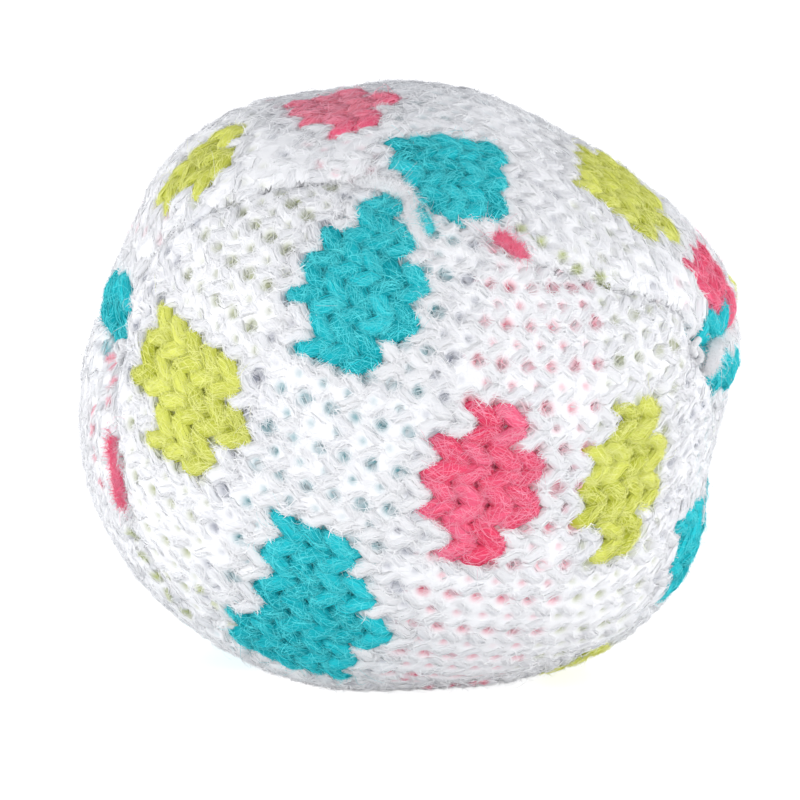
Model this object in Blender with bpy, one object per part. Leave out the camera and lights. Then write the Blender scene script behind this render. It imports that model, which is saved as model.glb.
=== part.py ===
"""Knitted footbag: three jersey panels sewn from gather to gather round a liner sack full of pellets.

The ball stands on a small flat. The origin is at the middle of that flat, +Z is up, -Y is the front and
+X is the right. Directions from the ball's centre are given as a turn from the front and a height angle.
"""

import math

import bmesh
import bpy
import numpy as np
from mathutils import Vector

MM = 0.001

# Ball form, as seen from the front: a round bag with corners and flats, slightly flatter front to back
BALL_HALF_WIDTH = 27.5 * MM
CENTRE_HEIGHT = 23.7 * MM
DEPTH_SHARE = 0.96
# Outline radius every 15 degrees, from the right side over the top, as shares of the half width
OUTLINE_SHARES = (
    0.945, 1.015, 0.975, 0.92, 0.895, 0.905, 0.92, 0.925, 0.975, 1.0, 0.96, 0.96,
    0.985, 1.0, 0.99, 0.965, 0.94, 0.915, 0.885, 0.9, 0.94, 0.985, 0.985, 0.925,
)
STEEPEST_SHARE = 0.2

# Seams, as turn and height in degrees: both ends of each are the two gathers
LEFT_GATHER = (-69, 11.5)
RIGHT_GATHER = (62.5, 12.5)
CROWN_SEAM = ((-66, 29), (-50, 40), (-24, 51), (0, 48), (14, 41), (30, 33), (46, 26), (58, 20))
BASE_SEAM = (
    (-62, -1), (-60, -16), (-58, -32), (-48, -46), (-30, -56), (0, -65), (30, -60), (58, -47), (79, -32), (85, -18),
    (79.5, -7), (71, 2.5),
)
BACK_SEAM = ((-92, 15), (-125, 10), (-155, 6), (180, 5), (150, 6), (120, 10), (90, 14))
SEAM_SAMPLES = 360

# Knit cover
COVER_THICKNESS = 2.0 * MM
FIT_GAP = 0.3 * MM
CREASE_DEPTH = 1.2 * MM
CREASE_REACH = 3.6 * MM
GATHER_DEPTH = 1.8 * MM
GATHER_REACH = 6.0 * MM
GATHER_OPENING = 2.4 * MM
SEAM_ALLOWANCE = 0.7 * MM
PANEL_COLUMNS = 26
PANEL_ROWS = 18
# The front panel's seams meet nearly in line, so its cross lines bulge away from the gathers: how far, and how fast
# that fades
FRONT_PUSH_SHARE = 0.09
PUSH_POWER = 8
# Distances from a panel's sewn edge to its first rows, so that the crease keeps its shape
EDGE_ROWS = (0.15 * MM, 0.9 * MM, 2.0 * MM, 3.6 * MM)

# Knitted-in dots: length runs along the stitch columns, from gather to gather
DOT_LENGTH = 9.6 * MM
DOT_WIDTH = 13.0 * MM
DOT_THICKNESS = 1.0 * MM
# How far an outline corner of a dot may leave its grid place, as a share of the cell
CORNER_SHIFT_SHARE = 0.25
# Each dot's colour, then its place along and across its panel, then its size, as shares
FRONT_DOT_SHARES = (
    ("teal", 0.46, 0.17, 1.05), ("lime", 0.29, 0.38, 0.95), ("pink", 0.54, 0.49, 0.95), ("lime", 0.66, 0.55, 0.9),
    ("teal", 0.405, 0.735, 1.05), ("teal", 0.75, 0.91, 0.7),
)
CROWN_DOT_SHARES = (
    ("lime", 0.32, 0.2, 0.75), ("pink", 0.455, 0.235, 0.8), ("teal", 0.57, 0.12, 0.8), ("lime", 0.665, 0.375, 0.9),
    ("pink", 0.82, 0.5, 0.75), ("teal", 0.92, 0.36, 0.4), ("teal", 0.1, 0.38, 0.45), ("pink", 0.28, 0.64, 0.85),
    ("lime", 0.42, 0.56, 1), ("teal", 0.57, 0.66, 1), ("teal", 0.33, 0.88, 0.6), ("pink", 0.72, 0.78, 0.9),
    ("pink", 0.48, 0.88, 0.7), ("lime", 0.84, 0.88, 0.5),
)
BASE_DOT_SHARES = (
    ("pink", 0.125, 0.14, 0.6), ("lime", 0.58, 0.15, 0.75), ("teal", 0.355, 0.34, 0.85),
    ("teal", 0.71, 0.3, 0.75), ("lime", 0.36, 0.64, 0.9), ("pink", 0.64, 0.64, 1), ("teal", 0.5, 0.7, 1),
    ("lime", 0.8, 0.7, 0.65), ("teal", 0.24, 0.8, 0.8), ("pink", 0.42, 0.9, 0.6),
)

# Sewing thread
THREAD_RADIUS = 0.28 * MM
STITCH_PITCH = 4.6 * MM
STITCH_HALF_SPAN = 0.9 * MM
SEAM_STEP_SHARE = 0.01
THREAD_SIDES = 5
SEAM_END_CLEARANCE = 5.0 * MM
KNOT_SIZE = 0.46 * MM
KNOT_THREAD_RADIUS = 0.3 * MM
KNOT_POINTS = 30
KNOT_SIDES = 6

# Liner sack
LINER_GAP = 0.35 * MM
LINER_THICKNESS = 0.5 * MM
LINER_RINGS = 12
LINER_SEGMENTS = 20
MOUTH_RADIUS = 1.3 * MM

# Pellet fill: the liner's facets dip below its curve, and the hollows between pellets dip again
LINER_FACET_DIP = 0.45 * MM
PELLET_DIP = 1.1 * MM
PELLET_SPREAD = 3

# Look of each material: colour, roughness
WHITE_YARN = ((0.86, 0.87, 0.90, 1.0), 0.9)
TEAL_YARN = ((0.03, 0.47, 0.54, 1.0), 0.9)
PINK_YARN = ((0.90, 0.11, 0.22, 1.0), 0.9)
LIME_YARN = ((0.66, 0.72, 0.06, 1.0), 0.9)
LINER_CLOTH = ((0.75, 0.73, 0.68, 1.0), 0.8)
PELLET_PLASTIC = ((0.80, 0.80, 0.78, 1.0), 0.4)
DOT_YARNS = {"teal": TEAL_YARN, "pink": PINK_YARN, "lime": LIME_YARN}

CENTRE = np.array((0.0, 0.0, CENTRE_HEIGHT))


def clear_scene():
    """Remove every object that is in the scene already."""
    for obj in list(bpy.data.objects):
        bpy.data.objects.remove(obj, do_unlink=True)


def unit(vectors):
    """Return the vectors at length one."""
    vectors = np.asarray(vectors, dtype=float)
    return vectors / np.linalg.norm(vectors, axis=-1, keepdims=True)


def direction(turn, height):
    """Turn an angle from the front and a height angle, in degrees, into a direction."""
    turn = math.radians(turn)
    height = math.radians(height)
    level = math.cos(height)
    return np.array((level * math.sin(turn), -level * math.cos(turn), math.sin(height)))


def smooth_curve(before, start, end, after, share):
    """Catmull-Rom curve between start and end."""
    return 0.5 * (
        2 * start
        + (end - before) * share
        + (2 * before - 5 * start + 4 * end - after) * share**2
        + (3 * start - before - 3 * end + after) * share**3
    )


def outline_share(angle):
    """Outline radius at an angle in the front view, as a share of the half width."""
    shares = np.array(OUTLINE_SHARES)
    count = len(shares)
    place = (angle / math.tau * count) % count
    index = np.floor(place).astype(int)
    near = [shares[(index + step) % count] for step in (-1, 0, 1, 2)]
    return smooth_curve(*near, place - index)


def seam_line(points):
    """Directions along a seam, evenly spaced from the left gather to the right gather."""
    stops = [direction(*point) for point in (LEFT_GATHER, *points, RIGHT_GATHER)]
    stops = [2 * stops[0] - stops[1], *stops, 2 * stops[-1] - stops[-2]]
    fine = []
    for index in range(1, len(stops) - 2):
        for share in np.linspace(0, 1, SEAM_SAMPLES, endpoint=False):
            fine.append(smooth_curve(*stops[index - 1:index + 3], share))
    fine.append(stops[-2])
    return evenly_spaced(unit(fine))


def evenly_spaced(line):
    """The same line with its directions evenly spaced."""
    steps = np.linalg.norm(np.diff(line, axis=0), axis=1)
    run = np.concatenate(([0], np.cumsum(steps)))
    even = np.linspace(0, run[-1], SEAM_SAMPLES)
    return unit(np.stack([np.interp(even, run, line[:, axis]) for axis in range(3)], axis=-1))


SEAMS = {"crown": seam_line(CROWN_SEAM), "base": seam_line(BASE_SEAM), "back": seam_line(BACK_SEAM)}
ALL_SEAM_POINTS = np.concatenate(list(SEAMS.values()))
GATHERS = np.array((direction(*LEFT_GATHER), direction(*RIGHT_GATHER)))


def seam_length(seam):
    """Length of a seam, measured on a ball of the half width."""
    return BALL_HALF_WIDTH * np.linalg.norm(np.diff(seam, axis=0), axis=1).sum()


def seam_at(seam, share):
    """Direction at a share of the seam's length."""
    place = np.clip(share, 0, 1) * (len(seam) - 1)
    index = np.minimum(place.astype(int), len(seam) - 2)
    blend = (place - index)[..., None]
    return unit(seam[index] * (1 - blend) + seam[index + 1] * blend)


def distance_to(marks, dirs):
    """Distance over the ball from each direction to the nearest mark."""
    nearest = np.clip((dirs @ marks.T).max(axis=-1), -1, 1)
    return BALL_HALF_WIDTH * np.arccos(nearest)


def gathered_radius(dirs):
    """Distance from the centre to the outside of the bag, drawn in at its two gathers."""
    in_front_plane = dirs[..., 0] ** 2 + dirs[..., 2] ** 2
    angle = np.arctan2(dirs[..., 2], dirs[..., 0])
    share = outline_share(angle) * in_front_plane + DEPTH_SHARE * (1 - in_front_plane)
    near_gather = np.clip(1 - distance_to(GATHERS, dirs) / GATHER_REACH, 0, 1)
    return BALL_HALF_WIDTH * share - GATHER_DEPTH * near_gather**2


def cover_radius(dirs):
    """Distance from the centre to the outside of the cover, with its creases, gathers and flat."""
    near_seam = np.clip(1 - distance_to(ALL_SEAM_POINTS, dirs) / CREASE_REACH, 0, 1)
    radius = gathered_radius(dirs) - CREASE_DEPTH * near_seam**2
    to_flat = CENTRE_HEIGHT / np.maximum(-dirs[..., 2], STEEPEST_SHARE)
    return np.where(dirs[..., 2] < -STEEPEST_SHARE, np.minimum(radius, to_flat), radius)


def cover_points(dirs, depth=0):
    """Points at a depth below the outside of the cover."""
    return CENTRE + dirs * (cover_radius(dirs) - depth)[..., None]


def make_material(name, look):
    """Plain cloth, thread or plastic."""
    colour, roughness = look
    material = bpy.data.materials.new(name)
    material.use_nodes = True
    shader = material.node_tree.nodes["Principled BSDF"]
    shader.inputs["Base Color"].default_value = colour
    shader.inputs["Roughness"].default_value = roughness
    shader.inputs["Metallic"].default_value = 0
    return material


def add_object(name, bm, look):
    """Put a finished mesh into the scene under its piece name."""
    bmesh.ops.recalc_face_normals(bm, faces=bm.faces)
    mesh = bpy.data.meshes.new(name)
    bm.to_mesh(mesh)
    bm.free()
    mesh.shade_smooth()
    mesh.set_sharp_from_angle(angle=math.radians(45))
    mesh.materials.append(make_material(name, look))
    obj = bpy.data.objects.new(name, mesh)
    bpy.context.scene.collection.objects.link(obj)
    return obj


class Panel:
    """A gore between two seams, with its grid of columns along it and rows across it."""

    def __init__(self, first_seam, second_seam, dots, push_share=0):
        self.first = SEAMS[first_seam]
        self.second = SEAMS[second_seam]
        self.dots = dots
        self.push_share = push_share
        columns, rows = np.meshgrid(np.arange(PANEL_COLUMNS + 1), np.arange(PANEL_ROWS + 1), indexing="ij")
        self.along = columns / PANEL_COLUMNS
        self.across = self.row_places(self.along, rows)
        self.dot_cells = self.share_out_cells()

    def edges(self, along):
        """Directions on the two seams, from one gather opening to the other."""
        ends = []
        for seam in (self.first, self.second):
            margin = GATHER_OPENING / seam_length(seam)
            ends.append(seam_at(seam, margin + along * (1 - 2 * margin)))
        return ends

    def width(self, along):
        """Distance between the two seams, over the ball."""
        first, second = self.edges(along)
        return BALL_HALF_WIDTH * np.arccos(np.clip((first * second).sum(axis=-1), -1, 1))

    def middle(self, along):
        """Direction midway between the seams."""
        first, second = self.edges(along)
        return unit(first + second)

    def row_places(self, along, rows):
        """Share of the width at which each row lies: close together by the sewn edges, even between."""
        half_rows = PANEL_ROWS // 2
        half_width = self.width(along) / 2
        from_edge = np.minimum(rows, PANEL_ROWS - rows)
        even = from_edge / half_rows * half_width
        last = len(EDGE_ROWS) - 1
        edge_rows = np.array(EDGE_ROWS)
        near = np.minimum(edge_rows[np.minimum(from_edge, last)], np.maximum(even, EDGE_ROWS[0]))
        last_edge = np.minimum(edge_rows[last], last / half_rows * half_width)
        middle = last_edge + (from_edge - last) / (half_rows - last) * (half_width - last_edge)
        distance = np.where(from_edge <= last, near, middle)
        share = distance / (2 * half_width)
        return np.where(rows <= half_rows, share, 1 - share)

    def directions(self, along, across):
        """Direction at shares of the length and of the width, with the rows' ends pushed in from the gathers."""
        first, second = self.edges(along)
        angle = np.arccos(np.clip((first * second).sum(axis=-1), -1, 1))
        from_first = np.sin((1 - across) * angle)[..., None] * first
        from_second = np.sin(across * angle)[..., None] * second
        push = self.push_share * ((1 - along) ** PUSH_POWER - along**PUSH_POWER)
        bulge = self.middle(along + push) - self.middle(along)
        return unit(unit(from_first + from_second) + (4 * across * (1 - across))[..., None] * bulge)

    def dot_size(self, dot):
        """Half length and half width of a dot, then one unit of length each way, as shares of the panel."""
        _, along, across, size_share = dot
        length = seam_length(self.first) * (1 - across) + seam_length(self.second) * across
        width = self.width(np.array(along))
        return DOT_LENGTH * size_share / 2 / length, DOT_WIDTH * size_share / 2 / width, 1 / length, 1 / width

    def dot_offset(self, dot, along, across):
        """Place of a point in the dot, 1 at its outline."""
        half_length, half_width, _, _ = self.dot_size(dot)
        return (along - dot[1]) / half_length, (across - dot[2]) / half_width

    def share_out_cells(self):
        """Grid cells of each dot. A cell goes to the dot it lies deepest in, with a plain cell kept between dots."""
        owners = {}
        for column in range(PANEL_COLUMNS):
            for row in range(1, PANEL_ROWS - 1):
                corners = np.s_[column:column + 2, row:row + 2]
                middle = (self.along[corners].mean(), self.across[corners].mean())
                reaches = [np.hypot(*self.dot_offset(dot, *middle)) for dot in self.dots]
                if min(reaches) < 1:
                    owners[column, row] = int(np.argmin(reaches))
        cells = [set() for _ in self.dots]
        for (column, row), owner in owners.items():
            around = [owners.get((column + right, row + up), owner) for right in (-1, 0, 1) for up in (-1, 0, 1)]
            if min(around) == owner:
                cells[owner].add((column, row))
        return cells

    def rounded_grid(self, gap):
        """The grid with each dot's outline corners drawn towards its round outline, then moved out by a gap."""
        along = self.along.copy()
        across = self.across.copy()
        most_along = CORNER_SHIFT_SHARE / PANEL_COLUMNS
        for dot, cells in zip(self.dots, self.dot_cells):
            half_length, half_width, unit_along, unit_across = self.dot_size(dot)
            for column, row in outline_corners(cells):
                here = self.across[column, row]
                most_across = CORNER_SHIFT_SHARE * min(
                    self.across[column, row + 1] - here, here - self.across[column, row - 1])
                offset = self.dot_offset(dot, along[column, row], here)
                reach = np.hypot(*offset)
                shift_along = dot[1] + offset[0] / reach * half_length - along[column, row]
                shift_across = dot[2] + offset[1] / reach * half_width - here
                along[column, row] += np.clip(shift_along, -most_along, most_along)
                across[column, row] += np.clip(shift_across, -most_across, most_across)
                along[column, row] += np.sign(offset[0]) * gap * unit_along
                across[column, row] += np.sign(offset[1]) * gap * unit_across
        return along, across


def cell_corners(column, row):
    """Corners of a cell, in order round it."""
    return ((column, row), (column + 1, row), (column + 1, row + 1), (column, row + 1))


def outline_edges(cells):
    """Directed edges round a set of cells."""
    edges = set()
    for cell in cells:
        corners = cell_corners(*cell)
        for start, end in zip(corners, corners[1:] + corners[:1]):
            if (end, start) in edges:
                edges.remove((end, start))
            else:
                edges.add((start, end))
    return edges


def outline_corners(cells):
    """Corners that lie on the outline of a set of cells."""
    return sorted({corner for edge in outline_edges(cells) for corner in edge})


def add_grid_verts(bm, points, corners):
    """One vertex at each of the named grid corners."""
    return {corner: bm.verts.new(points[corner]) for corner in sorted(corners)}


def add_cells(bm, verts, cells):
    """Two triangles for each cell, always cut along the same diagonal, so that stacked layers stay apart."""
    for cell in sorted(cells):
        first, second, third, fourth = (verts[corner] for corner in cell_corners(*cell))
        bm.faces.new((first, second, third))
        bm.faces.new((first, third, fourth))


def add_walls(bm, edges, top, bottom):
    """Walls between a top and a bottom along directed edges."""
    for start, end in sorted(edges):
        bm.faces.new((top[start], bottom[start], bottom[end], top[end]))


def panel_mesh(panel):
    """Panel with a shallow pocket for each dot and its sewn edges turned in."""
    along, across = panel.rounded_grid(FIT_GAP)
    dirs = panel.directions(along, across)
    outside = cover_points(dirs)
    pocket_floor = cover_points(dirs, DOT_THICKNESS + FIT_GAP)
    all_cells = {(column, row) for column in range(PANEL_COLUMNS) for row in range(PANEL_ROWS)}
    pocket_cells = set().union(*panel.dot_cells)
    bm = bmesh.new()
    plain_cells = all_cells - pocket_cells
    used = {corner for cell in plain_cells for corner in cell_corners(*cell)}
    top = add_grid_verts(bm, outside, used)
    add_cells(bm, top, plain_cells)
    for cells in panel.dot_cells:
        floor = add_grid_verts(bm, pocket_floor, {c for cell in cells for c in cell_corners(*cell)})
        add_cells(bm, floor, cells)
        add_walls(bm, outline_edges(cells), floor, top)
    close_panel_inside(bm, panel, top)
    return bm


def close_panel_inside(bm, panel, top):
    """Inner face at half the grid, and the turned-in edge walls that join it to the outside."""
    rows_in = np.arange(0, PANEL_ROWS + 1, 2)
    columns_in = np.arange(0, PANEL_COLUMNS + 1, 2)
    dirs = panel.directions(panel.along, panel.across)
    depth = np.full(dirs.shape[:2], COVER_THICKNESS)
    depth[:, 0] += SEAM_ALLOWANCE
    depth[:, -1] += SEAM_ALLOWANCE
    inside = cover_points(dirs, depth)
    corners = {(int(column), int(row)) for column in columns_in for row in rows_in}
    bottom = add_grid_verts(bm, inside, corners)
    for column in columns_in[:-1]:
        for row in rows_in[:-1]:
            cell = ((column, row), (column, row + 2), (column + 2, row + 2), (column + 2, row))
            bm.faces.new([bottom[(int(c), int(r))] for c, r in cell])
    rim = [(column, 0) for column in range(PANEL_COLUMNS)]
    rim += [(PANEL_COLUMNS, row) for row in range(PANEL_ROWS)]
    rim += [(column, PANEL_ROWS) for column in range(PANEL_COLUMNS, 0, -1)]
    rim += [(0, row) for row in range(PANEL_ROWS, 0, -1)]
    for index in range(0, len(rim), 2):
        start, middle, end = (rim[(index + step) % len(rim)] for step in range(3))
        bm.faces.new((top[start], bottom[start], top[middle]))
        bm.faces.new((top[middle], bottom[start], bottom[end]))
        bm.faces.new((top[middle], bottom[end], top[end]))


def dot_mesh(panel, cells):
    """One coloured dot: a closed solid that lies flush in its pocket."""
    dirs = panel.directions(*panel.rounded_grid(0))
    corners = {corner for cell in cells for corner in cell_corners(*cell)}
    bm = bmesh.new()
    top = add_grid_verts(bm, cover_points(dirs), corners)
    bottom = add_grid_verts(bm, cover_points(dirs, DOT_THICKNESS), corners)
    add_cells(bm, top, cells)
    add_cells(bm, bottom, cells)
    add_walls(bm, outline_edges(cells), top, bottom)
    return bm


def add_tube(bm, path, radius, sides, closed=False):
    """Tube along a path, with the side facets kept from twisting."""
    path = [Vector(point) for point in path]
    count = len(path)
    rings = []
    across = None
    for index, point in enumerate(path):
        if closed:
            along = path[(index + 1) % count] - path[index - 1]
        else:
            along = path[min(index + 1, count - 1)] - path[max(index - 1, 0)]
        along.normalize()
        across = along.orthogonal() if across is None else across - along * across.dot(along)
        across.normalize()
        other = along.cross(across)
        ring = []
        for side in range(sides):
            angle = math.tau * side / sides
            ring.append(bm.verts.new(point + radius * (across * math.cos(angle) + other * math.sin(angle))))
        rings.append(ring)
    joins = list(zip(rings, rings[1:]))
    if closed:
        joins.append((rings[-1], best_turned(rings[-1], rings[0])))
    for first, second in joins:
        for side in range(sides):
            after = (side + 1) % sides
            bm.faces.new((first[side], first[after], second[after], second[side]))
    if not closed:
        bm.faces.new(list(reversed(rings[0])))
        bm.faces.new(rings[-1])


def best_turned(last_ring, first_ring):
    """The first ring, started at the vertex that lies nearest the last ring's start."""
    start = min(range(len(first_ring)), key=lambda side: (first_ring[side].co - last_ring[0].co).length)
    return first_ring[start:] + first_ring[:start]


def seam_thread(seam):
    """The thread that overcasts a seam: it crosses the crease once every half pitch and lies in it."""
    length = seam_length(seam)
    run = length - 2 * SEAM_END_CLEARANCE
    crossings = 2 * int(run // STITCH_PITCH)
    path = []
    for step in range(2 * crossings + 1):
        place = (SEAM_END_CLEARANCE + run * step / (2 * crossings)) / length
        middle = seam_at(seam, np.array(place))
        behind = seam_at(seam, np.array(place - SEAM_STEP_SHARE))
        ahead = seam_at(seam, np.array(place + SEAM_STEP_SHARE))
        sideways = unit(np.cross(middle, ahead - behind))
        side = (-1, 0, 1, 0)[step % 4]
        where = unit(middle + sideways * side * STITCH_HALF_SPAN / BALL_HALF_WIDTH)
        path.append(cover_points(where, -(FIT_GAP + THREAD_RADIUS)))
    bm = bmesh.new()
    add_tube(bm, path, THREAD_RADIUS, THREAD_SIDES)
    return bm


def turned_to(axis):
    """The turn that takes +Z to an axis."""
    return Vector((0, 0, 1)).rotation_difference(Vector(axis))


def ring_of_directions(axis, angle, count):
    """Directions in a ring at an angle from an axis."""
    turn = turned_to(axis)
    ring = []
    for step in range(count):
        spin = math.tau * step / count
        local = Vector((math.sin(angle) * math.cos(spin), math.sin(angle) * math.sin(spin), math.cos(angle)))
        ring.append(turn @ local)
    return np.array(ring)


def closing_knot(gather):
    """A small overhand knot, drawn tight, that seats on the points of the three panels."""
    turn = turned_to(gather)
    rim = ring_of_directions(gather, 3 * KNOT_SIZE / BALL_HALF_WIDTH, KNOT_POINTS)
    seat = (cover_radius(rim) * (rim @ gather)).max()
    height = seat + FIT_GAP + KNOT_THREAD_RADIUS + KNOT_SIZE
    path = []
    for step in range(KNOT_POINTS):
        angle = math.tau * step / KNOT_POINTS
        local = KNOT_SIZE * Vector((
            math.sin(angle) + 2 * math.sin(2 * angle),
            math.cos(angle) - 2 * math.cos(2 * angle),
            -math.sin(3 * angle),
        ))
        path.append(Vector(CENTRE) + Vector(gather) * height + turn @ local)
    bm = bmesh.new()
    add_tube(bm, path, KNOT_THREAD_RADIUS, KNOT_SIDES, closed=True)
    return bm


def liner_depth():
    """Depth of the liner below the bag's form: it clears the turned-in edges of the panels."""
    return CREASE_DEPTH + COVER_THICKNESS + SEAM_ALLOWANCE + LINER_GAP


def liner_points(dirs, depth):
    """Points at a depth below the bag's form, flattened over the flat that the bag rests on."""
    lowest = CENTRE_HEIGHT - COVER_THICKNESS - LINER_GAP - (depth - liner_depth())
    to_flat = lowest / np.maximum(-dirs[..., 2], STEEPEST_SHARE)
    radius = gathered_radius(dirs) - depth
    radius = np.where(dirs[..., 2] < -STEEPEST_SHARE, np.minimum(radius, to_flat), radius)
    return CENTRE + dirs * radius[..., None]


def liner_shell(bm, depth, mouth_radius):
    """One side of the liner's cloth, from its mouth to the far end. Returns the mouth's ring."""
    mouth_angle = mouth_radius / BALL_HALF_WIDTH
    rings = []
    for index in range(LINER_RINGS):
        angle = mouth_angle + (math.pi - mouth_angle) * index / LINER_RINGS
        dirs = ring_of_directions(GATHERS[0], angle, LINER_SEGMENTS)
        rings.append([bm.verts.new(point) for point in liner_points(dirs, depth)])
    for first, second in zip(rings, rings[1:]):
        join_rings(bm, first, second)
    far_end = bm.verts.new(liner_points(-GATHERS[:1], depth)[0])
    for start, end in zip(rings[-1], rings[-1][1:] + rings[-1][:1]):
        bm.faces.new((start, end, far_end))
    return rings[0]


def join_rings(bm, first, second):
    """Faces between two rings of vertices."""
    for side in range(len(first)):
        after = (side + 1) % len(first)
        bm.faces.new((first[side], first[after], second[after], second[side]))


def liner_sack():
    """Thin round sack, filled through the mouth that is drawn together at the left gather."""
    bm = bmesh.new()
    outer_mouth = liner_shell(bm, liner_depth(), MOUTH_RADIUS)
    inner_mouth = liner_shell(bm, liner_depth() + LINER_THICKNESS, MOUTH_RADIUS)
    join_rings(bm, outer_mouth, inner_mouth)
    return bm


def pellet_fill():
    """The packed pellets as one mass, with a bump for each pellet of its outer layer."""
    bm = bmesh.new()
    bmesh.ops.create_icosphere(bm, subdivisions=PELLET_SPREAD, radius=1)
    crowns = len(bm.verts)
    bmesh.ops.subdivide_edges(bm, edges=bm.edges, cuts=1, use_grid_fill=True)
    bm.verts.ensure_lookup_table()
    depth = liner_depth() + LINER_THICKNESS + LINER_FACET_DIP + FIT_GAP
    for index, vert in enumerate(bm.verts):
        dip = 0 if index < crowns else PELLET_DIP
        vert.co = liner_points(unit(vert.co), depth + dip)
    return bm


def build():
    """Model the footbag."""
    clear_scene()
    panels = {
        "front": Panel("crown", "base", FRONT_DOT_SHARES, FRONT_PUSH_SHARE),
        "crown": Panel("crown", "back", CROWN_DOT_SHARES),
        "base": Panel("base", "back", BASE_DOT_SHARES),
    }
    for name, panel in panels.items():
        add_object(name + "_panel", panel_mesh(panel), WHITE_YARN)
        for number, (dot, cells) in enumerate(zip(panel.dots, panel.dot_cells), start=1):
            colour = dot[0]
            add_object(f"{name}_dot_{number}_{colour}", dot_mesh(panel, cells), DOT_YARNS[colour])
    for name, seam in SEAMS.items():
        add_object(name + "_seam_thread", seam_thread(seam), WHITE_YARN)
    for side, gather in zip(("left", "right"), GATHERS):
        add_object(side + "_closing_knot", closing_knot(gather), WHITE_YARN)
    add_object("liner_sack", liner_sack(), LINER_CLOTH)
    add_object("pellet_fill", pellet_fill(), PELLET_PLASTIC)


build()
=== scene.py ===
"""Knitted footbag: jersey stitches, knitted-in dots, floats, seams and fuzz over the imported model.

Lengths are in millimetres until a mesh is made. Directions from the ball's centre are given as a turn from the
front and a height angle, in degrees, as in the model's source.
"""

import math

import bpy
import numpy as np
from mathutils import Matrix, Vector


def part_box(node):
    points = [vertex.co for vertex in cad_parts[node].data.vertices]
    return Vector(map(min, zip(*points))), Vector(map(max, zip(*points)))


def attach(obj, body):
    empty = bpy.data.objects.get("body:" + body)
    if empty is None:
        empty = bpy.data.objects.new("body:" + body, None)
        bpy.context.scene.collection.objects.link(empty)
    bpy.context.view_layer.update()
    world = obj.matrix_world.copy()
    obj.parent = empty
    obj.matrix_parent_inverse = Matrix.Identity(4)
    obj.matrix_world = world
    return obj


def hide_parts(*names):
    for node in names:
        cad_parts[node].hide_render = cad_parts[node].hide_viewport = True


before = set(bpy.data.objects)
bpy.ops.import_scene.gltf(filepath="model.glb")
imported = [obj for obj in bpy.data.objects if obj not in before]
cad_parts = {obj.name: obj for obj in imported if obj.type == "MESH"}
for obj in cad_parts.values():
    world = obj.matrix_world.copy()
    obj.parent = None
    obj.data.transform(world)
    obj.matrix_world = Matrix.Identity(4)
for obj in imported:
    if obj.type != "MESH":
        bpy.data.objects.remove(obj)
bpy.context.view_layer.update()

MM = 0.001
SEED = 5

# Ball form: the same values as the model's
BALL_HALF_WIDTH = 27.5
CENTRE_HEIGHT = 23.7
DEPTH_SHARE = 0.96
OUTLINE_SHARES = (
    0.945, 1.015, 0.975, 0.92, 0.895, 0.905, 0.92, 0.925, 0.975, 1.0, 0.96, 0.96,
    0.985, 1.0, 0.99, 0.965, 0.94, 0.915, 0.885, 0.9, 0.94, 0.985, 0.985, 0.925,
)
STEEPEST_SHARE = 0.2
LEFT_GATHER = (-69, 11.5)
RIGHT_GATHER = (62.5, 12.5)
CROWN_SEAM = ((-66, 29), (-50, 40), (-24, 51), (0, 48), (14, 41), (30, 33), (46, 26), (58, 20))
BASE_SEAM = (
    (-62, -1), (-60, -16), (-58, -32), (-48, -46), (-30, -56), (0, -65), (30, -60), (58, -47), (79, -32), (85, -18),
    (79.5, -7), (71, 2.5),
)
BACK_SEAM = ((-92, 15), (-125, 10), (-155, 6), (180, 5), (150, 6), (120, 10), (90, 14))
SEAM_SAMPLES = 360
CREASE_DEPTH = 1.2
CREASE_REACH = 3.6
GATHER_DEPTH = 1.8
GATHER_REACH = 6.0

# Jersey gauge
WALE = 3.08
COURSE = 2.2
LEAN = 0.16 * WALE
EYELET = 0.075 * WALE
LOOP_HALF_HEIGHT = 1.75
LOOP_DEPTH = 0.4
YARN_RADIUS = 0.69
DOT_YARN_RADIUS = 0.73
# The yarn lies flattened: how wide and how thick, as shares of its radius
YARN_WIDE = 1.32
DOT_YARN_WIDE = 1.15
YARN_THICK = 0.86
YARN_PROUD = 0.4
CHART_RADIUS = 26.3
STITCH_POINTS = 25
HALF_STITCH = STITCH_POINTS // 2
# How much stitches vary: in height as a share, in place along and across, and in lift as a share
STITCH_JITTER = (0.05, 0.1, 0.09, 0.1)
RADIUS_JITTER = 0.05
DOT_LIFT = 1.25
CORE_SIDES = 12
CORE_SHARE = 0.94
# Fibre bundles on each leg: the arc they cover from its start, how far they wind (middle and spread), their distance
# from the yarn's middle as shares of its radius, and their own radii
STRANDS_PER_LEG = 8
WHITE_STRANDS_PER_LEG = 5
STRAND_ARC = (math.radians(-25), math.radians(230))
STRAND_WIND = (0.22, 0.2)
STRAND_OUT = 0.95
STRAND_OUT_JITTER = (-0.05, 0.1)
STRAND_RADII = (0.035, 0.085)
STRAND_TAPER = 0.35
FIBRE_SIDES = 3
# Shift between the yarn coordinates of two rows
ROW_SHIFT = 97
# How near to a seam a yarn may come before it turns in
TURN_IN = 0.5
TURN_IN_SLOPE = 0.85
MOST_TURN_IN = 4
# The loops are plumper than the crease that the seam draws in: how much further off they count as lying
SEAM_PLUMP = 1.1
DROP_BEYOND = 1.7

# Small openings of the jersey, one between the legs of each stitch and one between it and the next column
HOLE_REACH = 0.93
MIDDLE_HOLE_PLACE = 0.45
EDGE_HOLE_PLACE = -0.65
MIDDLE_HOLE_RADIUS = 0.14
EDGE_HOLE_RADIUS = 0.36
HOLE_VARIATION = 0.08
HOLE_RADII = (0.02, 0.6)
# Random numbers that the openings share, by column and course
CHANCES = 64
DOT_HOLE_SHARE = 0.2
NAP_HOLE_SHARE = 0.45
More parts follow.
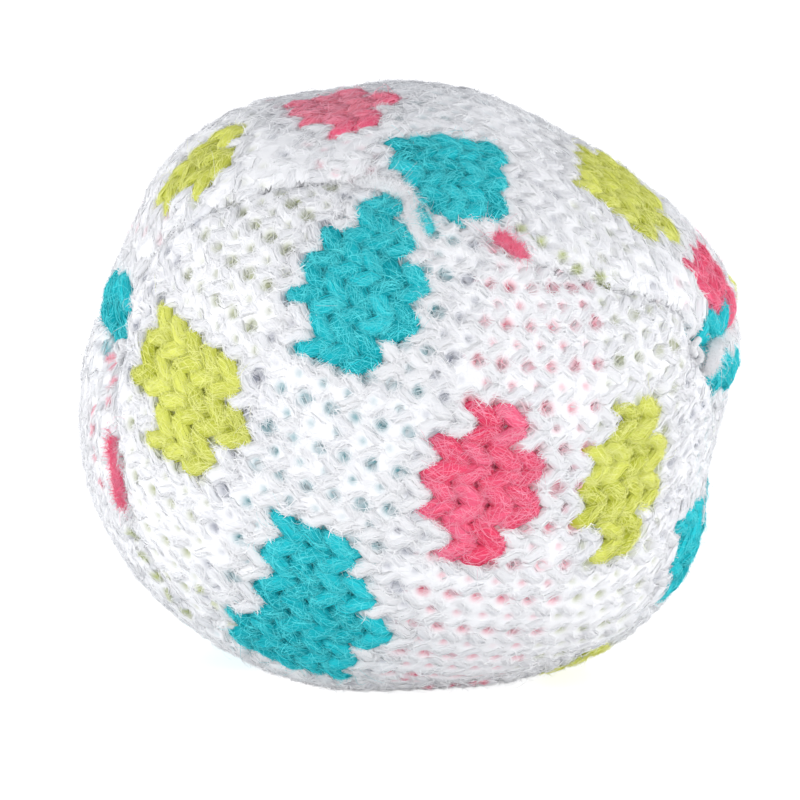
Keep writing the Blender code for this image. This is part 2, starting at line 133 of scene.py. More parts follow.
# Painted shade round each opening, in the colour of the float behind it: how far out, and how strongly
MIDDLE_TINT = (0.22, 0.5)
EDGE_TINT = (0.24, 0.95)
TINT_VARIATION = 0.12
TINT_FALL = 1.2
MOST_TINT = 0.95
DOT_TINT_SHARE = 0.3
# How clear the openings are in each panel
HOLE_CLEARNESS = {"front": 1.0, "crown": 0.3, "base": 0.45}
# Matted fuzz that fills the valleys of the white knit: its depth, grid, dimples at the openings, how far it sinks
# under the dots and beside them, and how it ends at the seams
FELT_DEPTH = {"front": -0.18, "crown": -0.22, "base": -0.18}
FELT_STEP = 0.25
FELT_REACH = 0.46
FELT_DIMPLE = 0.55
FELT_SINK = 1.1
FELT_BESIDE_DOT = 0.3
FELT_MARGIN = 0.15
FELT_TURN_IN = 0.9
# Stitch columns and courses that the map of what lies over the felt has room for
FELT_STITCHES = (64, 128)
NAP_TINT_SHARE = 0.75
FLOAT_REACH = 20.0

# Floats behind the stitches, the knit backing and the sewing thread
FLOAT_RADIUS = 0.45
FLOAT_DEPTH = 1.0
FLOAT_RUN = 24
FLOAT_LIMITS = (4, 78)
FLOAT_STEP = 0.5
FLOAT_PAIR = (-0.45, 0.45)
FLOAT_MARGIN = 1.6
FLOAT_LEAST_POINTS = 6
BACKING_DEPTH = 1.6
BACKING_THICKNESS = 0.4
BACKING_GRID = (90, 60)
BACKING_ALONG = (0.03, 0.97)
BACKING_ACROSS = (0.012, 0.988)
THREAD_RADIUS = 0.26
THREAD_PLY_OFF = 0.55 * THREAD_RADIUS
THREAD_PLY_RADIUS = THREAD_RADIUS * 0.72
PLY_SIDES = 6
# Overcasting: stitch length, points for each stitch, the share of a seam that it covers, with where that starts and
# ends, and how far it swings across the crease
OVERCAST_PITCH = 2.9
OVERCAST_POINTS = 16
OVERCAST_SHARE = 0.93
OVERCAST_ENDS = (0.035, 0.965)
OVERCAST_SWING = 0.75
OVERCAST_DEPTH = 1.15
KNOT_SIZE = 0.34
KNOT_SUNK = 0.7
KNOT_PLY_OFF = 0.15
KNOT_PLY_RADIUS = 0.17

# Liner and pellets: grids of points, depths of the liner's two sides, and the pellets' lattice and lens shape
LINER_GRID = (44, 72)
LINER_END = 0.06
LINER_DEPTHS = (4.35, 4.6)
PELLET_STEP = 3.3
PELLET_JITTER = 0.25
PELLET_DEPTH = 6.6
PELLET_GRID = (5, 8)
PELLET_RADIUS = 1.45
PELLET_TILT = 1.35
PELLET_ROUNDING = 0.7
PELLET_FLATNESS = 0.7

# Brushed fibres that lie on the yarn, and loose ones that stand off it
NAP_PER_STITCH = 110
DOT_NAP_PER_STITCH = 260
HAIRS_PER_STITCH = 7
DOT_HAIRS_PER_STITCH = 16
HAIR_RADIUS = 0.016
DOT_HAIR_RADIUS = 0.011
# Half width of the nap, how far round the yarn it grows in degrees, and how it bends down with the yarn
WHITE_NAP = (0.042, 30, 0.1)
DOT_NAP = (0.026, 46, 0.26)
LOOSE_NAP = (0.026, 60, 0.05)
# Nap: furthest angle from the top of the yarn, turn off its line, length, bend, lift off it and taper
NAP_LIMIT = 100
NAP_TURN = 0.6
NAP_LENGTHS = (0.7, 2.3)
NAP_BEND = 0.5
NAP_LIFTS = (0.02, 0.2)
NAP_SUNK = 0.02
NAP_TAPER = 0.6
# Loose hairs: turn off the yarn's line, shape and scale of their lengths, lift and curl
HAIR_TURN = 0.7
HAIR_LENGTHS = (3.0, 0.42)
HAIR_LIFT = 0.22
HAIR_LIFT_REACH = 2.0
HAIR_CURL = 0.5
# How far round a hair bends, in radians: every one a little, and more for each unit of its curl
HAIR_LEAST_BEND = 0.6
HAIR_BEND = 1.9
HAIR_ARCH = 2.4
HAIR_SUNK = 0.12
HAIR_TAPER = 0.5
LOOSE_HAIRS = 40
LOOSE_TUCK = 1.3
FIBRE_STRETCH = (9.0, 9.0, 1.1)
WHITE_SOFT = 0.4
FLOOR_CLEARANCE = 0.05
# Stitches that go into one piece
KNIT_PIECE_STITCHES = 110
FUZZ_PIECE_STITCHES = 180

# Stage, in metres, degrees and watts, with each lamp's name, turn, height and power. The camera's lens and sensor
# are in millimetres
FLOOR_REACH = 3.0
FLOOR_GLOW = 0.72
LAMPS = (
    ("key_light", 24, 5, 3.1), ("fill_light", -38, 5, 2.4), ("right_light", 96, 2, 5.0), ("left_light", -96, 2, 5.0),
)
LAMP_DISTANCE = 0.9
LAMP_SIZE = (0.8, 0.18)
CAMERA_LENS = 216.65
CAMERA_SENSOR = 36
CAMERA_SHIFT = (-0.0125, -0.0125)
CAMERA_HEIGHT = 12
CAMERA_DISTANCE = 0.4

# Charts: the pole that each panel's stitch columns run round, and the direction where its course count starts
CHARTS = {
    "front": ((40, 69), (0, -8), -1),
    "crown": ((10, 16), (180, 75), 1),
    "base": ((5, -25), (180, -70), -1),
}
NEAR_POLE = 0.02
# Phase of the first stitch column of each chart
COLUMN_START = {"front": 33.2, "crown": 33.0, "base": 33.0}
# The front panel's columns spread apart towards its lower edge: from where, and how fast
SPREAD_FROM = 40.0
SPREAD_RATE = 0.018
# The front panel's knit is stretched across its columns and lies a little skewed
STRETCH_FROM = 28.4
STRETCH = 1.047
SKEW = -0.015

# The front dots as a knitter's chart: column, then first and last course, counted from the chart's start
DOT_ROWS = {
    "front_dot_1_teal": ((-6, -5, -4), (-5, -5, -3), (-4, -6, -2), (-3, -6, -2), (-2, -5, -3)),
    "front_dot_2_lime": ((0, -12, -8), (1, -12, -7), (2, -10, -8)),
    "front_dot_3_pink": ((-1, 2, 3), (0, 1, 4), (1, 1, 4), (2, 2, 3)),
    "front_dot_4_lime": ((-1, 8, 9), (0, 7, 10), (1, 7, 10), (2, 8, 9)),
    "front_dot_5_teal": ((3, -4, -2), (4, -4, -1), (5, -4, 0), (6, -5, -1), (7, -5, -1), (8, -5, -1)),
    "front_dot_6_teal": ((3, 13, 15), (4, 13, 17), (5, 14, 17)),
}

# Dots: the node that each stands for, the place of its middle as turn and height, and its half length and width.
# The first ones, those of the front panel, have their middles as chart places instead
CHART_PLACED = 6
DOTS = tuple((name, name.split("_")[0], name.split("_")[-1], *rest) for name, *rest in (
    ("front_dot_1_teal", (-9.7, 20.9), 6.9, 7.5),
    ("front_dot_2_lime", (-21.8, 35.0), 5.7, 6.1),
    ("front_dot_3_pink", (5.7, 34.7), 4.8, 6.7),
    ("front_dot_4_lime", (17.8, 34.7), 5.5, 6.5),
    ("front_dot_5_teal", (-5.3, 51.7), 6.2, 8.8),
    ("front_dot_6_teal", (31.0, 45.5), 4.6, 5.0),
    ("crown_dot_2_pink", (-54.5, 73.1), 4.4, 5.0),
    ("crown_dot_3_teal", (12.5, 53.2), 6.0, 5.8),
    ("crown_dot_4_lime", (74.2, 45.4), 5.5, 6.2),
    ("crown_dot_1_lime", (-68.0, 48.6), 4.0, 2.9),
    ("crown_dot_5_pink", (75.5, 22.8), 3.5, 4.6),
    ("crown_dot_6_teal", (68.5, 15.5), 2.6, 3.0),
    ("crown_dot_7_teal", (-74.0, 17.5), 2.6, 4.8),
    ("crown_dot_8_pink", (-112, 27.5), 4.5, 5.5),
    ("crown_dot_9_lime", (-136.5, 49.9), 5.0, 6.5),
    ("crown_dot_10_teal", (142.4, 44.2), 5.0, 6.5),
    ("crown_dot_11_teal", (-138, 16), 3.4, 4.4),
    ("crown_dot_12_pink", (111.3, 20.5), 4.6, 5.9),
    ("crown_dot_13_pink", (-176.5, 19.7), 3.8, 4.6),
    ("crown_dot_14_lime", (98, 14.5), 3.2, 3.4),
    ("base_dot_2_lime", (73.2, -56.5), 3.4, 4.2),
    ("base_dot_3_teal", (-97, -50), 4.6, 5.5),
    ("base_dot_4_teal", (94, -26), 4.0, 5.0),
    ("base_dot_5_lime", (-129.5, -27.5), 4.8, 6.0),
    ("base_dot_6_pink", (123, -18), 5.0, 6.5),
    ("base_dot_7_teal", (169.3, -30.2), 5.0, 6.5),
    ("base_dot_8_lime", (103.7, 0.7), 3.4, 4.2),
    ("base_dot_9_teal", (-114.5, -1), 4.2, 5.2),
    ("base_dot_10_pink", (-162.5, -6.3), 3.2, 3.6),
    ("base_corner_teal", (71.5, 7.0), 2.2, 3.4),
))

# Tints on the fuzz: bits of other dots that show through at the seams, and a pale patch over the far pink dot of the
# crown, partly white fuzz and partly painted grazing sheen. Each has its colour, its reach and its places
TINT_SPOTS = (
    ("lime", 0.55, ((-61.7, -20.4), (-61.5, -24.7), (-60.8, -29.0), (-60.7, -33.1), (-59.8, -37.8))),
    ("lime", 0.42, ((-45.5, -28.5), (-44.1, -32.1), (-43.2, -37.0))),
    ("lime", 0.48, ((26.8, 40.6), (30.8, 37.6), (34.4, 34.3), (37.2, 31.6), (41.5, 29.3))),
    ("lime", 0.7, ((58.5, -52.0), (57.0, -52.6))),
    ("pink", 0.5, ((-1.7, -56.8), (9.4, -68.3), (21.9, -67.0), (31.7, -63.1), (29.0, -64.0))),
    ("pink", 0.45, ((-70.9, 0.5), (-71.5, -3.1), (-70.9, -7.5), (-68.8, -11.8))),
    ("teal", 0.45, ((-76.1, 11.3), (-74.2, 10.4))),
    ("pink", 0.45, ((-72.9, 9.6), (-71.0, 8.6), (-68.0, 6.0), (-66.0, 3.0))),
    # Pale patch over the far pink dot: white fuzz and painted grazing sheen
    ("white", 4.8, ((-54.5, 73.1),)),
)
SPOT_TONES = {
    "white": (0.92, 0.90, 0.93), "lime": (0.46, 0.53, 0.12), "pink": (0.93, 0.12, 0.24), "teal": (0.02, 0.45, 0.52),
}
# Yarns that lie loose on the cover: colour, radius (one for all or one for each length), how proud, places along
# them, and the node that they stand for
LOOSE_YARNS = (
    ("white", 0.46, 0.3, (
        (-18.1, 52.4), (-11.8, 51.8), (-6.3, 51.1), (-2.8, 49.8), (-0.5, 48.2), (0.7, 44.0), (1.6, 40.9), (2.6, 38.6),
    )),
    ("white", 0.42, 0.4, ((67.1, 7.8), (67.0, 9.8), (68.2, 11.5), (70.6, 12.4))),
    ("teal", 0.56, 0.12, ((1.5, 44.9), (2.3, 42.9), (3.8, 40.7))),
    ("pink", 0.27, 0.2, ((19.7, 40.2), (21.4, 38.9), (23.0, 37.6), (24.8, 36.3), (26.6, 35.0))),
    ("pink", (0.12, 0.17, 0.24, 0.38, 0.26, 0.36), 0.12, (
        (-64.6, -0.1), (-63.3, -3.4), (-62.5, -6.4), (-62.0, -9.2), (-61.8, -12.4), (-61.9, -14.0), (-62.0, -17.2),
    ), "base_dot_1_pink"),
)

# Each yarn's darker and lighter tone, then those of the loose fibres on it, which are lighter as painted sheen
YARNS = {
    "white": ((0.86, 0.87, 0.90), (0.94, 0.945, 0.96), (0.90, 0.91, 0.93), (0.96, 0.96, 0.97)),
    "teal": ((0.002, 0.30, 0.36), (0.035, 0.74, 0.82), (0.005, 0.45, 0.52), (0.170, 0.95, 0.99)),
    "pink": ((0.84, 0.050, 0.13), (0.99, 0.20, 0.35), (0.95, 0.10, 0.22), (0.99, 0.44, 0.58)),
    "lime": ((0.50, 0.54, 0.045), (0.88, 0.91, 0.22), (0.72, 0.76, 0.13), (0.96, 0.97, 0.42)),
}
# Floats, paled as if seen through white fuzz and lightened as painted light against the shade they lie in
LIGHTENED_FLOAT_TONES = {
    "teal": ((0.20, 0.56, 0.60), (0.34, 0.72, 0.76)),
    "pink": ((0.80, 0.32, 0.42), (0.92, 0.48, 0.58)),
    "lime": ((0.54, 0.56, 0.26), (0.70, 0.72, 0.38)),
}
# Knit backing, grey as painted shade of the openings
SHADED_BACKING_TONES = ((0.52, 0.54, 0.60), (0.66, 0.68, 0.74))
# Painted shade round each opening: the colour of the float behind it, darkened, or grey where none runs
HOLE_SHADE_TINTS = {
    "white": (0.28, 0.30, 0.38), "teal": (0.05, 0.30, 0.35), "pink": (0.74, 0.08, 0.17), "lime": (0.36, 0.40, 0.14),
}
# The front panel's floats as courses: colour, first and last course that it runs behind
FRONT_FLOATS = (("lime", -12.5, -7), ("teal", -6.2, -0.6), ("pink", 1.0, 6.4), ("lime", 6.4, 11), ("teal", 13.5, 17.5))

CENTRE = np.array((0.0, 0.0, CENTRE_HEIGHT))
random = np.random.default_rng(SEED)
hole_random = np.random.default_rng(SEED + 1)
HOLE_CHANCES = hole_random.normal(0, 1, (CHANCES, CHANCES))
NO_CAPS = np.zeros((0, 3), int)


def unit(vectors):
    """The vectors at length one."""
    return vectors / np.linalg.norm(vectors, axis=-1, keepdims=True)


def direction(turn, height):
    """Turn an angle from the front and a height angle into a direction."""
    turn = math.radians(turn)
    height = math.radians(height)
    level = math.cos(height)
    return np.array((level * math.sin(turn), -level * math.cos(turn), math.sin(height)))


def smooth_curve(before, start, end, after, share):
    """Catmull-Rom curve between start and end."""
    return 0.5 * (
        2 * start
        + (end - before) * share
        + (2 * before - 5 * start + 4 * end - after) * share**2
        + (3 * start - before - 3 * end + after) * share**3
    )


def outline_share(angle):
    """Outline radius at an angle in the front view, as a share of the half width."""
    shares = np.array(OUTLINE_SHARES)
    count = len(shares)
    place = (angle / math.tau * count) % count
    index = np.floor(place).astype(int)
    near = [shares[(index + step) % count] for step in (-1, 0, 1, 2)]
    return smooth_curve(*near, place - index)


def seam_line(points):
    """Directions along a seam, evenly spaced from the left gather to the right gather."""
    stops = [direction(*point) for point in (LEFT_GATHER, *points, RIGHT_GATHER)]
    stops = [2 * stops[0] - stops[1], *stops, 2 * stops[-1] - stops[-2]]
    fine = []
    for index in range(1, len(stops) - 2):
        for share in np.linspace(0, 1, SEAM_SAMPLES, endpoint=False):
            fine.append(smooth_curve(*stops[index - 1:index + 3], share))
    fine.append(stops[-2])
    line = unit(np.array(fine))
    steps = np.linalg.norm(np.diff(line, axis=0), axis=1)
    run = np.concatenate(([0], np.cumsum(steps)))
    even = np.linspace(0, run[-1], SEAM_SAMPLES)
    return unit(np.stack([np.interp(even, run, line[:, axis]) for axis in range(3)], axis=-1))


SEAMS = {"crown": seam_line(CROWN_SEAM), "base": seam_line(BASE_SEAM), "back": seam_line(BACK_SEAM)}
# Which panel lies on each side of a seam: on its upper side as it runs left to right in front, then on the other
SIDES = {"crown": ("crown", "front"), "base": ("front", "base"), "back": ("base", "crown")}
PANELS = ("front", "crown", "base")
SEAM_POINTS = np.concatenate(list(SEAMS.values()))
SEAM_NORMALS = unit(np.concatenate([np.cross(seam, np.gradient(seam, axis=0)) for seam in SEAMS.values()]))
UPPER_PANEL, LOWER_PANEL = (
    np.repeat([PANELS.index(SIDES[name][side]) for name in SEAMS], SEAM_SAMPLES) for side in (0, 1)
)
SEARCHED_AT_ONCE = 20000
GATHERS = np.array((direction(*LEFT_GATHER), direction(*RIGHT_GATHER)))


def nearest_seam(dirs):
    """Index of the nearest seam point and the distance to it over the ball, for each direction."""
    flat = dirs.reshape(-1, 3)
    index = np.empty(len(flat), int)
    reach = np.empty(len(flat))
    for start in range(0, len(flat), SEARCHED_AT_ONCE):
        some = slice(start, start + SEARCHED_AT_ONCE)
        cosines = flat[some] @ SEAM_POINTS.T
        best = cosines.argmax(axis=1)
        index[some] = best
        reach[some] = np.take_along_axis(cosines, best[:, None], 1)[:, 0]
    distance = BALL_HALF_WIDTH * np.arccos(np.clip(reach, -1, 1))
    return index.reshape(dirs.shape[:-1]), distance.reshape(dirs.shape[:-1])


def cover_radius(dirs, seam_distance=None):
    """Distance from the centre to the outside of the cover, with its creases, gathers and flat."""
    if seam_distance is None:
        _, seam_distance = nearest_seam(dirs)
    in_front_plane = dirs[..., 0] ** 2 + dirs[..., 2] ** 2
    angle = np.arctan2(dirs[..., 2], dirs[..., 0])
    share = outline_share(angle) * in_front_plane + DEPTH_SHARE * (1 - in_front_plane)
    to_gather = BALL_HALF_WIDTH * np.arccos(np.clip((dirs @ GATHERS.T).max(axis=-1), -1, 1))
    near_gather = np.clip(1 - to_gather / GATHER_REACH, 0, 1)
    near_seam = np.clip(1 - seam_distance / CREASE_REACH, 0, 1)
    radius = BALL_HALF_WIDTH * share - GATHER_DEPTH * near_gather**2 - CREASE_DEPTH * near_seam**2
    to_flat = CENTRE_HEIGHT / np.maximum(-dirs[..., 2], STEEPEST_SHARE)
    return np.where(dirs[..., 2] < -STEEPEST_SHARE, np.minimum(radius, to_flat), radius)


def side_of(dirs, panel):
    """Distance to the panel's edge, above zero inside it, and the direction towards its inside."""
    index, distance = nearest_seam(dirs)
    normals = SEAM_NORMALS[index]
    above = (dirs * normals).sum(axis=-1) > 0
    here = np.where(above, UPPER_PANEL[index], LOWER_PANEL[index])
    wanted = PANELS.index(panel)
    inside = here == wanted
    towards = np.where((UPPER_PANEL[index] == wanted)[..., None], normals, -normals)
    return np.where(inside, distance, -distance), towards


class Chart:
    """Stitch columns as circles round a pole: s runs along them, t across them."""

    def __init__(self, name):
        pole, middle, self.knit_sign = CHARTS[name]
        self.name = name
        self.pole = direction(*pole)
        middle = direction(*middle)
        self.first = unit(middle - self.pole * (middle @ self.pole))
        self.second = np.cross(self.pole, self.first)

    def to_dirs(self, s, t):
        """Directions at chart places."""
        if self.name == "front":
            t = STRETCH_FROM + (t - STRETCH_FROM) * STRETCH + SKEW * s
            t = t + SPREAD_RATE * np.maximum(t - SPREAD_FROM, 0) ** 2
        angle = np.clip(t / CHART_RADIUS, NEAR_POLE, math.pi - NEAR_POLE)
        turn = s / (CHART_RADIUS * np.sqrt(np.sin(angle)))
        round_pole = np.cos(turn)[..., None] * self.first + np.sin(turn)[..., None] * self.second
        return np.cos(angle)[..., None] * self.pole + np.sin(angle)[..., None] * round_pole

    def from_dir(self, dirs):
        """Chart places of directions."""
        angle = np.arccos(np.clip(dirs @ self.pole, -1, 1))
        turn = np.arctan2(dirs @ self.second, dirs @ self.first)
        s = turn * CHART_RADIUS * np.sqrt(np.sin(angle))
        t = angle * CHART_RADIUS
        if self.name == "front":
            over = np.maximum(t - SPREAD_FROM, 0)
            t = np.minimum(t, SPREAD_FROM) + (np.sqrt(1 + 4 * SPREAD_RATE * over) - 1) / (2 * SPREAD_RATE)
            t = STRETCH_FROM + (t - SKEW * s - STRETCH_FROM) / STRETCH
        return s, t

    def hole_shade_tint(self, hole_s, hole_t):
        """Painted shade of each opening: the colour of the nearest dot whose float runs there, darkened, else grey."""
        nearest = np.full(hole_s.shape, FLOAT_REACH)
        tint = np.broadcast_to(np.array(HOLE_SHADE_TINTS["white"]), (*hole_s.shape, 3)).copy()
        if self.name == "front":
            for colour, first, last in FRONT_FLOATS:
                tint[(hole_s >= first * COURSE) & (hole_s < last * COURSE)] = HOLE_SHADE_TINTS[colour]
            return tint
        for dot in DOTS:
            if dot[1] != self.name:
                continue
            middle = self.from_dir(direction(*dot[3]))
            off = np.abs(hole_t - middle[1])
            here = (np.abs(hole_s - middle[0]) < dot[4]) & (off < nearest)
            nearest[here] = off[here]
            tint[here] = HOLE_SHADE_TINTS[dot[2]]
        return tint

    def open_holes(self, points, share, reaches=(EDGE_TINT[0], MIDDLE_TINT[0])):
        """Points pushed aside from the middles of the knit's openings, the painted shade round them, and the tint
        spots.
        """
        away = points - CENTRE
        s, t = self.from_dir(unit(away))
        start = COLUMN_START[self.name] % WALE
        halves = np.floor((t - start) / (WALE / 2)).astype(int)
        strength = np.zeros(s.shape)
        behind = np.zeros((*s.shape, 3))
        for half in (halves, halves + 1):
            between = half % 2 == 1
            base = self.knit_sign * np.where(between, EDGE_HOLE_PLACE, MIDDLE_HOLE_PLACE)
            course = np.round((s - base) / COURSE).astype(int)
            hole_s = base + course * COURSE
            hole_t = start + half * WALE / 2
            hole = self.to_dirs(hole_s, hole_t)
            chance = HOLE_CHANCES[half % CHANCES, course % CHANCES]
            radius = np.where(between, EDGE_HOLE_RADIUS, MIDDLE_HOLE_RADIUS) + HOLE_VARIATION * chance
            radius = share * np.clip(radius, *HOLE_RADII) * (0.4 + 0.6 * HOLE_CLEARNESS[self.name])
            along = (away * hole).sum(axis=-1, keepdims=True) * hole
            across = away - along
            distance = np.linalg.norm(across, axis=-1)
            pushed = np.where(distance < HOLE_REACH, radius + (1 - radius / HOLE_REACH) * distance, distance)
            away = along + across * (pushed / np.maximum(distance, 0.01))[..., None]
            # Painted shade of the opening, in the colour behind it, fading out from its edge
            reach = np.where(between, *reaches)
            most = np.where(between, EDGE_TINT[1], MIDDLE_TINT[1]) * HOLE_CLEARNESS[self.name]
            fall = np.exp(-(np.maximum(pushed - radius, 0) / reach) ** 2 * TINT_FALL)
            here = (most + TINT_VARIATION * chance) * fall
            stronger = here > strength
            strength[stronger] = here[stronger]
            behind[stronger] = self.hole_shade_tint(hole_s[stronger], hole_t[stronger])
        ways = unit(away)
        for colour, reach, places in TINT_SPOTS:
            for place in places:
                distance = BALL_HALF_WIDTH * np.arccos(np.clip(ways @ direction(*place), -1, 1))
                here = MOST_TINT * np.exp(-(distance / reach) ** 4)
                stronger = here > strength
                strength[stronger] = here[stronger]
                behind[stronger] = SPOT_TONES[colour]
        return CENTRE + away, np.clip(strength, 0, MOST_TINT), behind


def placed(dirs, depth, panel):
    """Points at a depth below the cover, turned in where they would cross the panel's edge."""
    inside, towards = side_of(dirs, panel)
    over = np.clip(TURN_IN - inside, 0, MOST_TURN_IN)
    moved = unit(dirs + towards * (over / BALL_HALF_WIDTH)[..., None])
    _, seam_distance = nearest_seam(moved)
    radius = cover_radius(moved, seam_distance + SEAM_PLUMP)
    return CENTRE + moved * (radius - depth - TURN_IN_SLOPE * over)[..., None]


def make_mesh(name, vertices, quads, caps, fibre, tone, opening=None, behind=None):
    """A mesh from arrays, with the yarn's own coordinates and tone stored on its points."""
    mesh = bpy.data.meshes.new(name)
    vertices = np.array(vertices)
    vertices[:, 2] = np.maximum(vertices[:, 2], FLOOR_CLEARANCE)
    mesh.vertices.add(len(vertices))
    mesh.vertices.foreach_set("co", (vertices * MM).astype(np.float32).ravel())
    corners = np.concatenate([quads.ravel(), caps.ravel()]).astype(np.int32)
    starts = np.concatenate([np.arange(len(quads)) * 4, len(quads) * 4 + np.arange(len(caps)) * 3]).astype(np.int32)
    mesh.loops.add(len(corners))
    mesh.loops.foreach_set("vertex_index", corners)
    mesh.polygons.add(len(starts))
    mesh.polygons.foreach_set("loop_start", starts)
    mesh.update(calc_edges=True)
    stored = {"fibre": fibre, "tone": tone, "opening": opening, "behind": behind}
    for attribute, values in stored.items():
        if values is not None:
            kind, key = ("FLOAT_VECTOR", "vector") if values.ndim == 2 else ("FLOAT", "value")
            data = mesh.attributes.new(attribute, kind, "POINT").data
            data.foreach_set(key, values.astype(np.float32).ravel())
    mesh.shade_smooth()
    return mesh


def swept(points, offsets, section, tone, ribbon=False):
    """Vertices, side faces, end faces, yarn coordinates and tone of sections swept along rows of points."""
    count, length, sides = offsets.shape[:3]
    steps = np.linalg.norm(np.diff(points, axis=1), axis=-1)
    run = np.concatenate([np.zeros((count, 1)), np.cumsum(steps, axis=1)], axis=1) + tone[:, None] * ROW_SHIFT
    fibre = np.stack(np.broadcast_arrays(*section, run[:, :, None]), axis=-1)
    index = np.arange(count * length * sides).reshape(count, length, sides)
    near, after = (index[..., :1], index[..., 1:]) if ribbon else (index, np.roll(index, -1, axis=2))
    quads = np.stack([near[:, :-1], after[:, :-1], after[:, 1:], near[:, 1:]], axis=-1).reshape(-1, 4)
    caps = NO_CAPS if ribbon else np.concatenate([index[:, 0, ::-1], index[:, -1]])
    tones = np.broadcast_to(tone[:, None, None], (count, length, sides))
    return (points[:, :, None] + offsets).reshape(-1, 3), quads, caps, fibre.reshape(-1, 3), tones.ravel()


def tube_parts(points, outward, radius, sides, tone, wide=1.0, thick=1.0):
    """The arrays of tubes along rows of points."""
    along = unit(np.gradient(points, axis=1) + 1e-12)
    up = unit(outward - (outward * along).sum(-1, keepdims=True) * along + 1e-9)
    side = np.cross(along, up)
    angles = np.arange(sides) / sides * math.tau
    radius = np.broadcast_to(radius, points.shape[:2])[:, :, None]
    ring = wide * np.cos(angles)[:, None] * side[:, :, None] + thick * np.sin(angles)[:, None] * up[:, :, None]
    return swept(points, radius[..., None] * ring, (radius * np.cos(angles), radius * np.sin(angles)), tone)


def ribbon_parts(points, facing, half_width, tone):
    """The arrays of flat ribbons along rows of points, with no end faces."""
    side = unit(np.cross(unit(np.gradient(points, axis=1) + 1e-12), facing) + 1e-9)
    offsets = half_width[:, :, None, None] * np.stack([-side, side], axis=2)
    return swept(points, offsets, (np.zeros(2), 0.0), tone, ribbon=True)


def add_piece(name, parts, material, replaces=()):
    """One object from several sets of tube parts, with their end faces cut into triangles."""
    quads, caps = [], []
    offset = 0
    for part in parts:
        quads.append(part[1] + offset)
        for step in range(1, part[2].shape[1] - 1):
            caps.append(part[2][:, [0, step, step + 1]] + offset)
        offset += len(part[0])
    vertices = np.concatenate([part[0] for part in parts])
    stored = [np.concatenate([part[index] for part in parts]) for index in range(3, len(parts[0]))]
    mesh = make_mesh(name, vertices, np.concatenate(quads), np.concatenate(caps), *stored)
    add_object(name, mesh, material, replaces)


def linked(name, data):
    """A new object in the scene."""
    obj = bpy.data.objects.new(name, data)
    bpy.context.scene.collection.objects.link(obj)
    return obj


def add_object(name, mesh, material, replaces=()):
    """Link a mesh as a piece that rides on the ball."""
    mesh.materials.append(material)
    obj = linked(name, mesh)
    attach(obj, "root")
    if replaces:
        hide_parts(*replaces)
    return obj


def add_sheet(name, sides, quads, fibre_scale, material, node):
    """A closed sheet from the points of its two sides."""
    vertices = np.concatenate([side.reshape(-1, 3) for side in sides])
    mesh = make_mesh(name, vertices, quads, NO_CAPS, vertices * fibre_scale, np.full(len(vertices), 0.5))
    return add_object(name, mesh, material, (node,))


def grid_quads(index):
    """Faces of a grid of vertex numbers."""
    return np.stack([index[:-1, :-1], index[1:, :-1], index[1:, 1:], index[:-1, 1:]], axis=-1).reshape(-1, 4)


def ring_quads(index):
    """Faces between rings of vertex numbers."""
    after = np.roll(index, -1, axis=1)
    return np.stack([index[:-1], after[:-1], after[1:], index[1:]], axis=-1).reshape(-1, 4)


def loop_shape():
    """One jersey loop from sinker to sinker: across the column, in the knitting direction, and outward."""
    turn = np.linspace(0, math.tau, STITCH_POINTS)
    across = WALE * (turn / math.tau - 0.5) + LEAN * np.sin(2 * turn) - EYELET * np.sin(4 * turn)
    up = -LOOP_HALF_HEIGHT * np.cos(turn)
    outward = LOOP_DEPTH * (1 - 2 * np.abs(np.cos(turn)) ** 3)
    return across, up, outward


def panel_stitches(chart):
    """Chart places of the middles of a panel's stitches."""
    places = []
    for column in np.arange(COLUMN_START[chart.name] % WALE, math.pi * CHART_RADIUS, WALE):
        angle = column / CHART_RADIUS
        reach = math.pi * CHART_RADIUS * math.sqrt(max(math.sin(angle), 0.0)) - COURSE / 2
        count = int(reach / COURSE)
        courses = np.arange(-count, count + 1) * COURSE
        places.append(np.stack([courses, np.full(len(courses), column)], axis=-1))
    places = np.concatenate(places)
    inside, _ = side_of(chart.to_dirs(places[:, 0], places[:, 1]), chart.name)
    return places[inside > -DROP_BEYOND]


def stitch_colours(chart, places):
    """Index of the dot that each stitch belongs to, or -1."""
    owner = np.full(len(places), -1)
    best = np.ones(len(places))
    for index, (name, panel, _, middle, half_length, half_width) in enumerate(DOTS):
        if panel != chart.name:
            continue
        if name in DOT_ROWS:
            for column, first, last in DOT_ROWS[name]:
                in_column = np.abs(places[:, 1] - COLUMN_START[panel] - column * WALE) < WALE / 2
                course = places[:, 0] / COURSE
                owner[in_column & (course > first - 0.5) & (course < last + 0.5)] = index
            continue
        offset = np.abs(places - np.array(chart.from_dir(direction(*middle)))) / np.array((half_length, half_width))
        reach = (offset**2).sum(axis=-1)
        mine = (reach < 1) & (reach < best)
        owner[mine] = index
        best[mine] = reach[mine]
    return owner


def knitted_yarn(chart, places, in_dot):
    """The yarn of a panel's stitches, each a little irregular."""
    across, up, outward = loop_shape()
    count = len(places)
    taller, ahead, aside, higher = np.split(random.normal(0, 1, (count, 4)) * STITCH_JITTER, 4, axis=1)
    s = places[:, 0:1] + ahead + chart.knit_sign * up * (1 + taller)
    t = places[:, 1:2] + aside + across
    lift = outward * (1 + higher) * np.where(in_dot, DOT_LIFT, 1)[:, None]
    dirs = chart.to_dirs(s, t)
    points = placed(dirs, LOOP_DEPTH + YARN_RADIUS - YARN_PROUD - lift, chart.name)
    tone = random.random(count)
    radius = np.where(in_dot, DOT_YARN_RADIUS, YARN_RADIUS)[:, None]
    radius = radius * (1 + RADIUS_JITTER * random.normal(0, 1, (count, 1)))
    wide = np.where(in_dot, DOT_YARN_WIDE, YARN_WIDE)[:, None]
    return Yarn(chart, points, dirs, tone, radius, wide, np.where(in_dot, DOT_HOLE_SHARE, 1.0))


